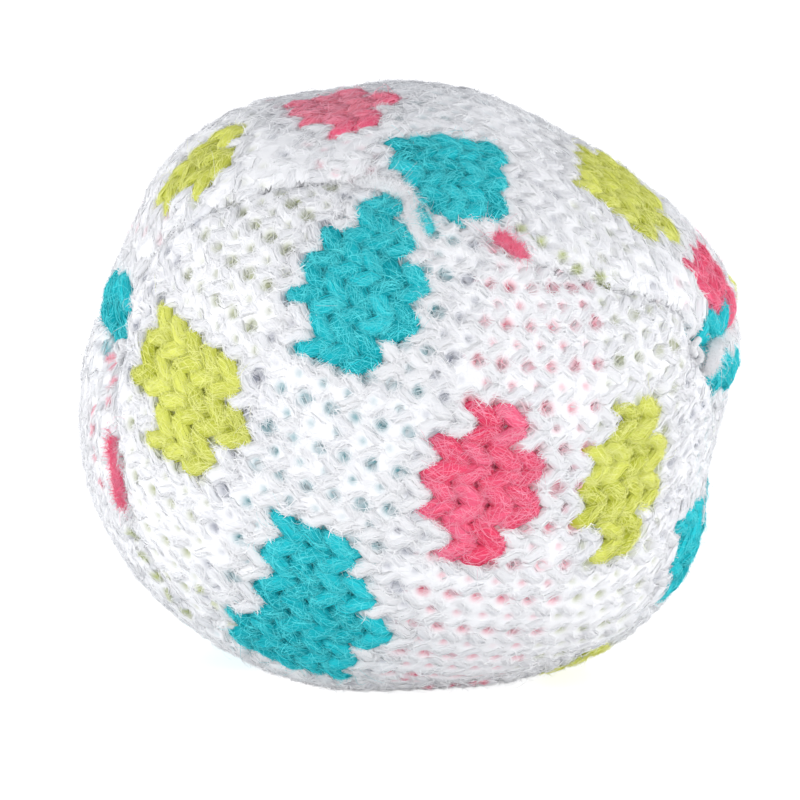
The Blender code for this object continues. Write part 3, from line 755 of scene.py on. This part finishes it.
class Yarn:
    """Lengths of yarn: each a knitted stitch, or as many points of a yarn that belongs to no chart."""

    def __init__(self, chart, *arrays):
        self.chart = chart
        self.arrays = arrays
        self.points, self.outward, self.tone, self.radius, self.wide, self.hole_share = arrays
        # Directions along, up from and across the yarn at each of its points
        self.along = unit(np.gradient(self.points, axis=1))
        self.up = unit(self.outward - (self.outward * self.along).sum(-1, keepdims=True) * self.along)
        self.side = np.cross(self.along, self.up)

    def pick(self, chosen):
        """Some of the lengths."""
        return Yarn(self.chart, *(array[chosen] for array in self.arrays))

    def opened(self, parts, hole_share=1.0, tint_share=1.0):
        """Tube arrays with the knit's openings pressed into them, and painted shade, in the float's colour, round them.
        """
        if self.chart is None:
            return (*parts, np.zeros(len(parts[0])), np.zeros((len(parts[0]), 3)))
        in_dot = self.hole_share[0] < 1
        points, opening, behind = self.chart.open_holes(parts[0], hole_share * self.hole_share[0])
        opening = opening * tint_share * (DOT_TINT_SHARE if in_dot else 1)
        return (points, *parts[1:], opening, behind)

    def core(self):
        """Solid middle of the yarn, which swells and ripples a little along its length."""
        count, length = self.points.shape[:2]
        wave = np.linspace(0, 1, length)
        phase = random.random((count, 1)) * math.tau
        swell = 1 + 0.05 * np.sin(wave * 9 + phase) + 0.03 * np.sin(wave * 23 + 2 * phase)
        return self.opened(tube_parts(
            self.points, self.outward, self.radius * CORE_SHARE * swell, CORE_SIDES, self.tone, self.wide[0, 0],
            YARN_THICK,
        ))

    def strands(self, per_leg):
        """Fibre bundles that lie along the two visible legs of each loop."""
        count = len(self.points)
        parts = []
        for leg in (slice(1, HALF_STITCH), slice(HALF_STITCH + 1, STITCH_POINTS - 1)):
            points = self.points[:, leg]
            wave = np.linspace(-1, 1, points.shape[1])
            for number in range(per_leg):
                # Only the first two phases of the four are used
                phase = random.random((count, 4)) * math.tau
                place = (number + 0.5 + random.uniform(-0.5, 0.5, (count, 1))) / per_leg
                start = STRAND_ARC[0] + place * STRAND_ARC[1]
                angle = start + wave * random.normal(*STRAND_WIND, (count, 1)) + 0.1 * np.sin(wave * 3 + phase[:, 0:1])
                out = self.radius * (STRAND_OUT + random.uniform(*STRAND_OUT_JITTER, (count, 1)))
                out = out * (1 + 0.05 * np.sin(wave * 4 + phase[:, 1:2]))
                offset = (self.wide * np.cos(angle))[..., None] * self.side[:, leg]
                offset = offset + YARN_THICK * np.sin(angle)[..., None] * self.up[:, leg]
                thick = random.uniform(*STRAND_RADII, (count, 1)) * (1 - STRAND_TAPER * wave**4)
                # A strand on top of the yarn is painted lighter than one on its flank: painted shade on the flanks,
                # with a random tone
                facing = np.sin(start[:, 0])
                tone = np.clip(0.5 * self.tone + 0.6 * facing + random.uniform(-0.4, 0.2, count), 0, 1)
                line = points + out[..., None] * offset
                parts.append(self.opened(tube_parts(line, offset, thick, FIBRE_SIDES, tone)))
        return parts

    def roots(self, total):
        """Random points on the legs of random stitches, as an index."""
        chosen = random.integers(0, len(self.points), total)
        return chosen, random.integers(2, HALF_STITCH - 1, total) + HALF_STITCH * random.integers(0, 2, total)

    def nap(self, total, width, spread, sag):
        """Brushed fibres that lie over the yarn, as narrow ribbons that face outward."""
        root = self.roots(total)
        angle = np.radians(90 + np.clip(random.normal(0, spread, (total, 1)), -NAP_LIMIT, NAP_LIMIT))
        side, up = self.side[root], self.up[root]
        along = self.along[root] * random.choice((-1, 1), total)[:, None]
        outward = np.cos(angle) * side + np.sin(angle) * up
        turn = random.normal(0, NAP_TURN, (total, 1))
        forward = along * np.cos(turn) + np.cross(along, outward) * np.sin(turn)
        sideways = np.cross(outward, forward)
        from_core = self.wide[root[0]] * np.cos(angle) * side + YARN_THICK * np.sin(angle) * up
        start = self.points[root] + self.radius[root[0]] * from_core
        length = random.uniform(*NAP_LENGTHS, (total, 1))
        bend = random.normal(0, NAP_BEND, (total, 1))
        lift = random.uniform(*NAP_LIFTS, (total, 1))
        shares = np.linspace(0, 1, 5)
        line = np.stack([
            start + forward * length * (share - 0.5)
            + sideways * length * bend * (share - 0.5) ** 2
            + outward * (lift * math.sin(math.pi * share) - NAP_SUNK - sag * length**2 * (share - 0.5) ** 2)
            for share in shares
        ], axis=1)
        half_width = random.uniform(0.4, 1.0, (total, 1)) * width * (1 - NAP_TAPER * np.abs(2 * shares - 1) ** 3)
        facing = np.repeat(outward[:, None], len(shares), axis=1)
        # Nap on top of the yarn is painted lighter than on its flanks: painted shade, with a random tone
        tone = np.clip(0.55 * np.sin(angle[:, 0]) + random.uniform(-0.2, 0.45, total), 0, 1)
        return self.opened(ribbon_parts(line, facing, half_width, tone), NAP_HOLE_SHARE, NAP_TINT_SHARE)

    def hairs(self, total, radius):
        """Loose curling fibres that leave the yarn and lie over its neighbours."""
        root = self.roots(total)
        angle = np.radians(random.uniform(0, 180, (total, 1)))
        along = self.along[root] * random.choice((-1, 1), total)[:, None]
        outward = self.outward[root]
        from_core = np.cos(angle) * self.side[root] + np.sin(angle) * self.up[root]
        start = self.points[root] + self.radius[root[0]] * from_core
        turn = random.normal(0, HAIR_TURN, (total, 1))
        forward = along * np.cos(turn) + np.cross(outward, along) * np.sin(turn)
        across = np.cross(outward, forward)
        length = random.gamma(*HAIR_LENGTHS, (total, 1))
        lift = np.abs(random.normal(0, HAIR_LIFT, (total, 1))) * np.minimum(length, HAIR_LIFT_REACH)
        curl = random.normal(0, HAIR_CURL, (total, 1))
        bend = np.abs(curl)
        shares = np.linspace(0, 1, 6)
        line = np.stack([
            start
            + forward * length * np.sin(share * HAIR_BEND * bend + share * HAIR_LEAST_BEND)
            / (HAIR_LEAST_BEND + HAIR_BEND * bend)
            + across * length * curl * share**2
            + outward * lift * (math.sin(share * HAIR_ARCH) - HAIR_SUNK)
            for share in shares
        ], axis=1)
        thick = random.uniform(0.7, 1.3, (total, 1)) * radius * (1 - HAIR_TAPER * shares)
        facing = np.repeat(outward[:, None], len(shares), axis=1)
        return self.opened(tube_parts(line, facing, thick, FIBRE_SIDES, random.random(total)), 0.0, 0.0)


def set_inputs(tree, node, inputs):
    """Give a node's inputs their values, or links to other nodes' outputs."""
    for name, value in inputs.items():
        if isinstance(value, bpy.types.NodeSocket):
            tree.links.new(value, node.inputs[name])
        else:
            node.inputs[name].default_value = value


def add_node(tree, kind, inputs=None, **settings):
    """A new node with its settings and inputs."""
    node = tree.nodes.new("ShaderNode" + kind)
    for name, value in settings.items():
        setattr(node, name, value)
    set_inputs(tree, node, inputs or {})
    return node


def new_tree(owner):
    """The node tree of a new material or world."""
    owner.use_nodes = True
    return owner.node_tree


def yarn_material(name, dark, light, bump=0.5, tinted=False, soft=0.0, roughness=0.95, sheen=0.25):
    """Brushed acrylic yarn: a tone that changes from strand to strand and along the fibres, with a soft sheen."""
    material = bpy.data.materials.new(name)
    tree = new_tree(material)
    fibre = add_node(tree, "Attribute", attribute_name="fibre")
    stretch = add_node(tree, "Mapping", {"Vector": fibre.outputs["Vector"], "Scale": FIBRE_STRETCH})
    fine = add_node(tree, "TexNoise", {
        "Vector": stretch.outputs["Vector"], "Scale": 1.6, "Detail": 4, "Roughness": 0.65,
    })
    tone = add_node(tree, "Attribute", attribute_name="tone")
    both = add_node(tree, "Math", {0: tone.outputs["Fac"], 1: fine.outputs["Fac"]}, operation="ADD")
    share = add_node(tree, "MapRange", {"Value": both.outputs["Value"], "From Min": 0.4, "From Max": 1.6})
    mix = add_node(tree, "Mix", data_type="RGBA")
    set_inputs(tree, mix, {"A": (*dark, 1), "B": (*light, 1), "Factor": share.outputs["Result"]})
    # Painted shade round the knit's openings, in the colour of what lies behind them
    if tinted:
        opening = add_node(tree, "Attribute", attribute_name="opening")
        behind = add_node(tree, "Attribute", attribute_name="behind")
        through = add_node(tree, "Mix", data_type="RGBA")
        set_inputs(tree, through, {
            "Factor": opening.outputs["Fac"], "A": mix.outputs["Result"], "B": behind.outputs["Color"],
        })
        mix = through
    shader = tree.nodes["Principled BSDF"]
    set_inputs(tree, shader, {
        "Base Color": mix.outputs["Result"], "Subsurface Weight": soft, "Subsurface Radius": (1.0, 1.0, 1.0),
        "Subsurface Scale": 0.0006, "Roughness": roughness, "Specular IOR Level": 0.05, "Sheen Weight": sheen,
        "Sheen Tint": (*light, 1), "Sheen Roughness": 0.6,
    })
    if bump:
        raised = add_node(tree, "Bump", {"Strength": bump, "Distance": 0.00012, "Height": fine.outputs["Fac"]})
        set_inputs(tree, shader, {"Normal": raised.outputs["Normal"]})
    return material


MATERIALS = {
    name: yarn_material(name + "_acrylic", *tones[:2], tinted=True, soft=WHITE_SOFT if name == "white" else 0)
    for name, tones in YARNS.items()
}
HAIR_MATERIALS = {name: yarn_material(name + "_fibre", *tones[2:], 0, True) for name, tones in YARNS.items()}
FLOAT_MATERIALS = {name: yarn_material(name + "_float", *tones) for name, tones in LIGHTENED_FLOAT_TONES.items()}


def chunks(array, size):
    """The array in pieces of at most a size."""
    return [array[start:start + size] for start in range(0, len(array), size)]


def build_felt(chart, places, owner):
    """Matted fuzz of one panel, dimpled at the openings with painted shade there, and sunk under the dots."""
    start = COLUMN_START[chart.name] % WALE
    columns, courses = FELT_STITCHES
    sunk = np.zeros(FELT_STITCHES)
    for (s, t), dot in zip(places, owner):
        if dot >= 0:
            column = round((t - start) / WALE)
            course = round(s / COURSE) + courses // 2
            sunk[column, course] = 1
            for beside in (course - 1, course + 1):
                sunk[column, beside] = max(sunk[column, beside], FELT_BESIDE_DOT)
    reach = math.pi * CHART_RADIUS
    along, across = np.arange(-reach, reach, FELT_STEP), np.arange(1, reach - 1, FELT_STEP)
    grid_s, grid_t = np.meshgrid(along, across, indexing="ij")
    dirs = chart.to_dirs(grid_s, grid_t)
    inside, _ = side_of(dirs, chart.name)
    turn = grid_s / (CHART_RADIUS * np.sqrt(np.sin(np.clip(grid_t / CHART_RADIUS, NEAR_POLE, math.pi - NEAR_POLE))))
    kept = (inside > FELT_MARGIN) & (np.abs(turn) < math.pi)
    number = np.full(kept.shape, -1)
    number[kept] = np.arange(kept.sum())
    quads = grid_quads(number)
    quads = quads[(quads >= 0).all(axis=1)]
    s, t, dirs, inside = grid_s[kept], grid_t[kept], dirs[kept], inside[kept]
    column = np.clip((t - start) / WALE, 0, columns - 1.01)
    course = np.clip(s / COURSE + courses // 2, 0, courses - 1.01)
    over, up = column % 1, course % 1
    column, course = column.astype(int), course.astype(int)
    low = sunk[column, course] * (1 - over) + sunk[column + 1, course] * over
    high = sunk[column, course + 1] * (1 - over) + sunk[column + 1, course + 1] * over
    depth = FELT_DEPTH[chart.name] + FELT_SINK * (low * (1 - up) + high * up)
    radius = cover_radius(dirs, inside + SEAM_PLUMP) - depth - FELT_TURN_IN * np.clip(TURN_IN - inside, 0, 1)
    _, opening, behind = chart.open_holes(CENTRE + dirs * radius[:, None], 0.0, (FELT_REACH, 0.75 * FELT_REACH))
    radius = radius - FELT_DIMPLE * opening
    fibre = np.stack([t * 0.5, np.zeros(len(t)), s], axis=-1)
    name = chart.name + "_felted_fuzz"
    tone = np.full(len(t), 0.6)
    mesh = make_mesh(name, CENTRE + dirs * radius[:, None], quads, NO_CAPS, fibre, tone, opening, behind)
    add_object(name, mesh, HAIR_MATERIALS["white"])


def add_knit(name, yarn, colour, per_leg=STRANDS_PER_LEG, nodes=()):
    """A piece of yarn with its strands."""
    add_piece(name, [yarn.core(), *yarn.strands(per_leg)], MATERIALS[colour], nodes)


def add_fuzz(name, yarn, colour, naps, nap, hairs, hair_radius=DOT_HAIR_RADIUS):
    """A piece of the fibres on yarn, with so many of both kinds for each of its lengths."""
    count = len(yarn.points)
    fuzz = [yarn.nap(naps * count, *nap), yarn.hairs(hairs * count, hair_radius)]
    add_piece(name, fuzz, HAIR_MATERIALS[colour])


def build_knit():
    """All stitches of the three panels, by panel and colour."""
    for panel in PANELS:
        chart = Chart(panel)
        places = panel_stitches(chart)
        owner = stitch_colours(chart, places)
        yarn = knitted_yarn(chart, places, owner >= 0)
        # White stitches, column by column
        white = np.flatnonzero(owner < 0)
        order = white[np.argsort(places[white, 1], kind="stable")]
        for number, group in enumerate(chunks(order, KNIT_PIECE_STITCHES)):
            add_knit(f"{panel}_white_knit_{number + 1}", yarn.pick(group), "white", WHITE_STRANDS_PER_LEG)
        for number, group in enumerate(chunks(order, FUZZ_PIECE_STITCHES)):
            name = f"{panel}_white_fuzz_{number + 1}"
            add_fuzz(name, yarn.pick(group), "white", NAP_PER_STITCH, WHITE_NAP, HAIRS_PER_STITCH, HAIR_RADIUS)
        for index in sorted(set(owner[owner >= 0])):
            name, _, colour, *_ = DOTS[index]
            part = yarn.pick(np.flatnonzero(owner == index))
            stands_for = (name,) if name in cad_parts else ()
            add_knit(name + "_knit", part, colour, nodes=stands_for)
            add_fuzz(name + "_fuzz", part, colour, DOT_NAP_PER_STITCH, DOT_NAP, DOT_HAIRS_PER_STITCH)
        build_felt(chart, places, owner)


def along_seam(name, share):
    """Directions at shares of a seam's length, and the index of the seam's own point before each."""
    where = share * (SEAM_SAMPLES - 1)
    index = np.minimum(where.astype(int), SEAM_SAMPLES - 2)
    blend = (where - index)[..., None]
    return unit(SEAMS[name][index] * (1 - blend) + SEAMS[name][index + 1] * blend), index


def build_backing():
    """Closed knit backing of each panel, behind the loops, that the liner presses out."""
    # The backing's grey is painted shade of the openings
    material = yarn_material("knit_backing", *SHADED_BACKING_TONES, bump=0.8)
    rows, columns = BACKING_GRID
    for panel, first, second in (("front", "crown", "base"), ("crown", "crown", "back"), ("base", "base", "back")):
        along = np.linspace(*BACKING_ALONG, rows)[:, None]
        across = np.linspace(*BACKING_ACROSS, columns)[None, :]
        start, _ = along_seam(first, along)
        end, _ = along_seam(second, along)
        angle = np.arccos(np.clip((start * end).sum(-1), -1, 1))
        dirs = unit(np.sin((1 - across) * angle)[..., None] * start + np.sin(across * angle)[..., None] * end)
        radius = cover_radius(dirs)
        outer = CENTRE + dirs * (radius - BACKING_DEPTH)[..., None]
        inner = CENTRE + dirs * (radius - BACKING_DEPTH - BACKING_THICKNESS)[..., None]
        node = panel + "_panel"
        index = np.arange(rows * columns).reshape(rows, columns)
        face = grid_quads(index)
        shift = rows * columns
        rim = np.concatenate([index[:, 0], index[-1, 1:], index[-2::-1, -1], index[0, -2:0:-1]])
        after = np.roll(rim, -1)
        wall = np.stack([rim, after, after + shift, rim + shift], axis=-1)
        quads = np.concatenate([face, face[:, ::-1] + shift, wall[:, ::-1]])
        obj = add_sheet(panel + "_backing", (outer, inner), quads, 0.35, material, node)


def surface_line(dirs, depth):
    """Points at a depth below the cover, in the given directions."""
    return CENTRE + dirs * (cover_radius(dirs) - depth)[..., None]


def build_floats():
    """Yarn that runs behind the loops, along the courses of each dot, in the dot's colour."""
    limit = math.floor(math.pi * CHART_RADIUS / 2 / COURSE)
    low, high = FLOAT_LIMITS
    for panel in PANELS:
        chart = Chart(panel)
        groups = {}
        for number, course in enumerate(np.arange(-limit, limit + 1) * COURSE):
            for index, (_, dot_panel, colour, middle, half_length, _) in enumerate(DOTS):
                if dot_panel != panel:
                    continue
                if index >= CHART_PLACED:
                    middle = chart.from_dir(direction(*middle))
                if abs(course - middle[0]) > half_length - 0.3:
                    continue
                t = np.arange(max(middle[1] - FLOAT_RUN, low), min(middle[1] + FLOAT_RUN, high), FLOAT_STEP)
                for strand, shift in enumerate(FLOAT_PAIR):
                    s = course + shift + 0.12 * np.sin(t * 1.3 + number + strand)
                    dirs = chart.to_dirs(s, t)
                    inside, _ = side_of(dirs, panel)
                    keep = np.flatnonzero(inside > FLOAT_MARGIN)
                    for run in np.split(keep, np.flatnonzero(np.diff(keep) > 1) + 1):
                        if len(run) < FLOAT_LEAST_POINTS:
                            continue
                        depth = FLOAT_DEPTH + 0.1 * np.cos(t[run] * math.tau / WALE) + 0.1 * (index % 3)
                        groups.setdefault(colour, []).append((surface_line(dirs[run], depth), dirs[run]))
        for colour, lines in groups.items():
            parts = [
                tube_parts(line[None], dirs[None], FLOAT_RADIUS, PLY_SIDES, random.random(1)) for line, dirs in lines
            ]
            add_piece(f"{panel}_{colour}_floats", parts, FLOAT_MATERIALS[colour])


def ply_parts(line, first, second, wind, off, outward, radius):
    """Tube arrays of a ply that winds round a thread's line."""
    twisted = line + off * (np.cos(wind)[:, None] * first + np.sin(wind)[:, None] * second)
    return tube_parts(twisted[None], outward[None], radius, PLY_SIDES, random.random(1))


def build_seams():
    """One overcasting thread of two plies down each seam, drawn into the crease."""
    for name in SEAMS:
        length = BALL_HALF_WIDTH * np.linalg.norm(np.diff(SEAMS[name], axis=0), axis=1).sum()
        stitches = int(length / OVERCAST_PITCH)
        share = np.linspace(*OVERCAST_ENDS, stitches * OVERCAST_POINTS)
        dirs, index = along_seam(name, share)
        normals = SEAM_NORMALS[list(SEAMS).index(name) * SEAM_SAMPLES + index]
        phase = share * stitches / OVERCAST_SHARE * math.tau
        swing = OVERCAST_SWING * np.sin(phase) * (1 + 0.2 * np.sin(phase * 0.37))
        depth = OVERCAST_DEPTH - 0.5 * np.cos(2 * phase) + 0.2 * np.sin(phase * 0.23)
        dirs = unit(dirs + normals * (swing / BALL_HALF_WIDTH)[:, None])
        line = surface_line(dirs, depth)
        side = np.cross(unit(np.gradient(line, axis=0)), dirs)
        parts = [
            ply_parts(line, side, dirs, phase * 1.9 + ply * math.pi, THREAD_PLY_OFF, dirs, THREAD_PLY_RADIUS)
            for ply in range(2)
        ]
        add_piece(name + "_overcast_thread", parts, MATERIALS["white"], (name + "_seam_thread",))


def build_loose_yarns():
    """Yarns that lie loose on the cover at the seams, their ends tucked in."""
    for number, (colour, radius, proud, places, *nodes) in enumerate(LOOSE_YARNS):
        stops = [direction(*place) for place in places]
        stops = [2 * stops[0] - stops[1], *stops, 2 * stops[-1] - stops[-2]]
        share = np.linspace(0, 1, STITCH_POINTS)[:, None]
        dirs = unit(np.stack([
            smooth_curve(*stops[index:index + 4], share) for index in range(len(stops) - 3)
        ]))
        run = np.linspace(-1, 1, dirs.shape[0] * STITCH_POINTS).reshape(dirs.shape[:2])
        _, seam_distance = nearest_seam(dirs)
        out = cover_radius(dirs, seam_distance + SEAM_PLUMP) + proud - LOOSE_TUCK * run**6
        count = len(dirs)
        yarn = Yarn(None, CENTRE + dirs * out[..., None], dirs, random.random(count),
                    np.broadcast_to(radius, count)[:, None], np.full((count, 1), DOT_YARN_WIDE), np.zeros(count))
        name = f"loose_{colour}_yarn_{number + 1}"
        add_knit(name, yarn, colour, nodes=nodes)
        add_fuzz(name + "_fuzz", yarn, colour, 2 * DOT_NAP_PER_STITCH, LOOSE_NAP, LOOSE_HAIRS)


def build_knots():
    """Closing knots in the two gathers: a thread of three plies tied in a trefoil."""
    for name, place in (("left", LEFT_GATHER), ("right", RIGHT_GATHER)):
        low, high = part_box(name + "_closing_knot")
        middle = (np.array(low) / MM + np.array(high) / MM) / 2
        out = direction(*place)
        right = unit(np.cross((0, 0, 1), out))
        up = np.cross(out, right)
        turn = np.linspace(0, math.tau, 73)
        wide = (np.sin(turn) + 2 * np.sin(2 * turn))[:, None] * right
        tall = (np.cos(turn) - 2 * np.cos(2 * turn))[:, None] * up
        deep = -np.sin(3 * turn)[:, None] * out
        line = middle - KNOT_SUNK * out + KNOT_SIZE * (wide + tall + deep)
        dirs = unit(line - middle + out * 0.5)
        along = unit(np.gradient(line, axis=0))
        first = unit(np.cross(along, out))
        second = np.cross(along, first)
        parts = [
            ply_parts(line, first, second, turn * 14 + ply * math.tau / 3, KNOT_PLY_OFF, dirs, KNOT_PLY_RADIUS)
            for ply in range(3)
        ]
        add_piece(name + "_tied_knot", parts, MATERIALS["white"], (name + "_closing_knot",))


def build_liner():
    """Crinkled liner sack, which the cover hides."""
    cloth = yarn_material("liner_weave", (0.68, 0.66, 0.61), (0.78, 0.76, 0.71), bump=0.4)
    rows, columns = LINER_GRID
    turns = np.linspace(0, math.tau, columns + 1)[:-1]
    heights = np.linspace(-math.pi / 2 + LINER_END, math.pi / 2 - LINER_END, rows)[:, None]
    level = np.cos(heights)
    dirs = np.stack([level * np.sin(turns), -level * np.cos(turns), np.broadcast_to(np.sin(heights), LINER_GRID)], -1)
    crinkle = 0.1 * np.sin(turns * 9 + 3 * heights) + 0.08 * np.sin(turns * 17 - 6 * heights)
    sheet = [CENTRE + dirs * (cover_radius(dirs) - depth + crinkle)[..., None] for depth in LINER_DEPTHS]
    shift = rows * columns
    index = np.arange(shift).reshape(rows, columns)
    after = np.roll(index, -1, axis=1)
    face = ring_quads(index)
    rims = []
    for row, flip in ((0, 1), (-1, -1)):
        wall = np.stack([index[row], index[row] + shift, after[row] + shift, after[row]], axis=-1)
        rims.append(wall[:, ::flip])
    quads = np.concatenate([face, face[:, ::-1] + shift, *rims])
    sack = add_sheet("liner_cloth_sack", sheet, quads, 2.0, cloth, "liner_sack")


def build_pellets():
    """Pellets, as small lens shapes on a loose lattice inside the liner."""
    grid = np.stack(np.meshgrid(*[np.arange(-7, 8)] * 3, indexing="ij"), axis=-1).reshape(-1, 3) * PELLET_STEP
    grid = grid + (grid[:, 2:3] / PELLET_STEP % 2) * PELLET_STEP * 0.5 * np.array((1, 1, 0))
    grid = grid + random.uniform(-PELLET_JITTER, PELLET_JITTER, grid.shape)
    grid = grid[np.linalg.norm(grid, axis=1) < cover_radius(unit(grid + 1e-6)) - PELLET_DEPTH]
    rings, sides = PELLET_GRID
    tilt = np.linspace(-PELLET_TILT, PELLET_TILT, rings)[:, None]
    around = np.arange(sides) / sides * math.tau
    level = np.cos(tilt) ** PELLET_ROUNDING
    end_caps = [(0, (0, corner + 2, corner + 1, corner)) for corner in (1, 3, 5)]
    end_caps += [(-1, (0, corner, corner + 1, corner + 2)) for corner in (1, 3, 5)]
    vertices, quads, tones = [], [], []
    for number, middle in enumerate(grid):
        spin = unit(random.normal(0, 1, 3))
        first = unit(np.cross(spin, random.normal(0, 1, 3)))
        second = np.cross(spin, first)
        shape = (
            (level * np.cos(around))[..., None] * first
            + (level * np.sin(around))[..., None] * second
            + (np.sin(tilt) * PELLET_FLATNESS + 0 * around)[..., None] * spin
        )
        vertices.append((CENTRE + middle + PELLET_RADIUS * shape).reshape(-1, 3))
        index = number * rings * sides + np.arange(rings * sides).reshape(rings, sides)
        quads.append(ring_quads(index))
        quads += [index[row, list(corners)][None] for row, corners in end_caps]
        tones.append(np.full(rings * sides, random.random()))
    vertices = np.concatenate(vertices)
    mesh = make_mesh("loose_pellets", vertices, np.concatenate(quads), NO_CAPS, vertices, np.concatenate(tones))
    plastic = yarn_material(
        "pellet_plastic_grain", (0.74, 0.74, 0.72), (0.84, 0.84, 0.82), bump=0.1, roughness=0.4, sheen=0.0
    )
    pellets = add_object("loose_pellets", mesh, plastic, ("pellet_fill",))


def seen_directly(tree):
    """One for what the camera, mirrors and glass see of a surface, and zero for the light it casts on others."""
    path = add_node(tree, "LightPath").outputs
    seen = add_node(tree, "Math", {0: path["Is Camera Ray"], 1: path["Is Glossy Ray"]}, operation="ADD")
    more = add_node(tree, "Math", {0: seen.outputs[0], 1: path["Is Transmission Ray"]}, operation="ADD", use_clamp=True)
    return more.outputs[0]


def build_floor():
    """Pale floor that takes the shadow and looks white."""
    mesh = bpy.data.meshes.new("floor")
    corners = [(x * FLOOR_REACH, y * FLOOR_REACH, 0) for x, y in ((-1, -1), (1, -1), (1, 1), (-1, 1))]
    mesh.from_pydata(corners, [], [(0, 1, 2, 3)])
    floor = linked("floor", mesh)
    material = bpy.data.materials.new("floor_white")
    tree = new_tree(material)
    shader = tree.nodes["Principled BSDF"]
    set_inputs(tree, shader, {"Base Color": (0.85, 0.85, 0.86, 1), "Roughness": 0.9, "Specular IOR Level": 0})
    scaled = add_node(tree, "Math", {0: seen_directly(tree), 1: FLOOR_GLOW}, operation="MULTIPLY")
    glow = add_node(tree, "Emission", {"Color": (1, 1, 1, 1), "Strength": scaled.outputs[0]})
    lit = add_node(tree, "AddShader", {0: shader.outputs[0], 1: glow.outputs[0]})
    set_inputs(tree, tree.nodes["Material Output"], {"Surface": lit.outputs[0]})
    mesh.materials.append(material)


def build_lights():
    """White surroundings, and soft light from the camera's side and from both sides of the ball."""
    world = bpy.data.worlds.new("studio")
    bpy.context.scene.world = world
    tree = new_tree(world)
    light = tree.nodes["Background"]
    set_inputs(tree, light, {"Color": (0.93, 0.95, 1.0, 1), "Strength": 0.56})
    white = add_node(tree, "Background", {"Color": (1, 1, 1, 1), "Strength": 1})
    mix = add_node(tree, "MixShader", {0: seen_directly(tree), 1: light.outputs[0], 2: white.outputs[0]})
    set_inputs(tree, tree.nodes["World Output"], {"Surface": mix.outputs[0]})
    for name, turn, height, power in LAMPS:
        lamp = bpy.data.lights.new(name, "AREA")
        lamp.shape = "RECTANGLE"
        lamp.size, lamp.size_y = LAMP_SIZE
        lamp.energy = power
        lamp.color = (1, 0.99, 0.98)
        obj = linked(name, lamp)
        obj.location = CENTRE * MM + direction(turn, height) * LAMP_DISTANCE
        obj.rotation_euler = (math.pi / 2 - math.radians(height), 0, math.radians(turn))


def build_camera():
    """Camera at the photograph's height and distance."""
    data = bpy.data.cameras.new("camera")
    data.lens = CAMERA_LENS
    data.sensor_width = CAMERA_SENSOR
    data.shift_x, data.shift_y = CAMERA_SHIFT
    camera = linked("camera", data)
    height = math.radians(CAMERA_HEIGHT)
    camera.location = (
        0, -CAMERA_DISTANCE * math.cos(height), CENTRE_HEIGHT * MM + CAMERA_DISTANCE * math.sin(height)
    )
    camera.rotation_euler = (math.pi / 2 - height, 0, 0)
    bpy.context.scene.camera = camera


build_camera()
build_knit()
build_backing()
build_floats()
build_seams()
build_loose_yarns()
build_knots()
build_liner()
build_pellets()
build_floor()
build_lights()

bpy.context.scene.view_settings.view_transform = "Standard"
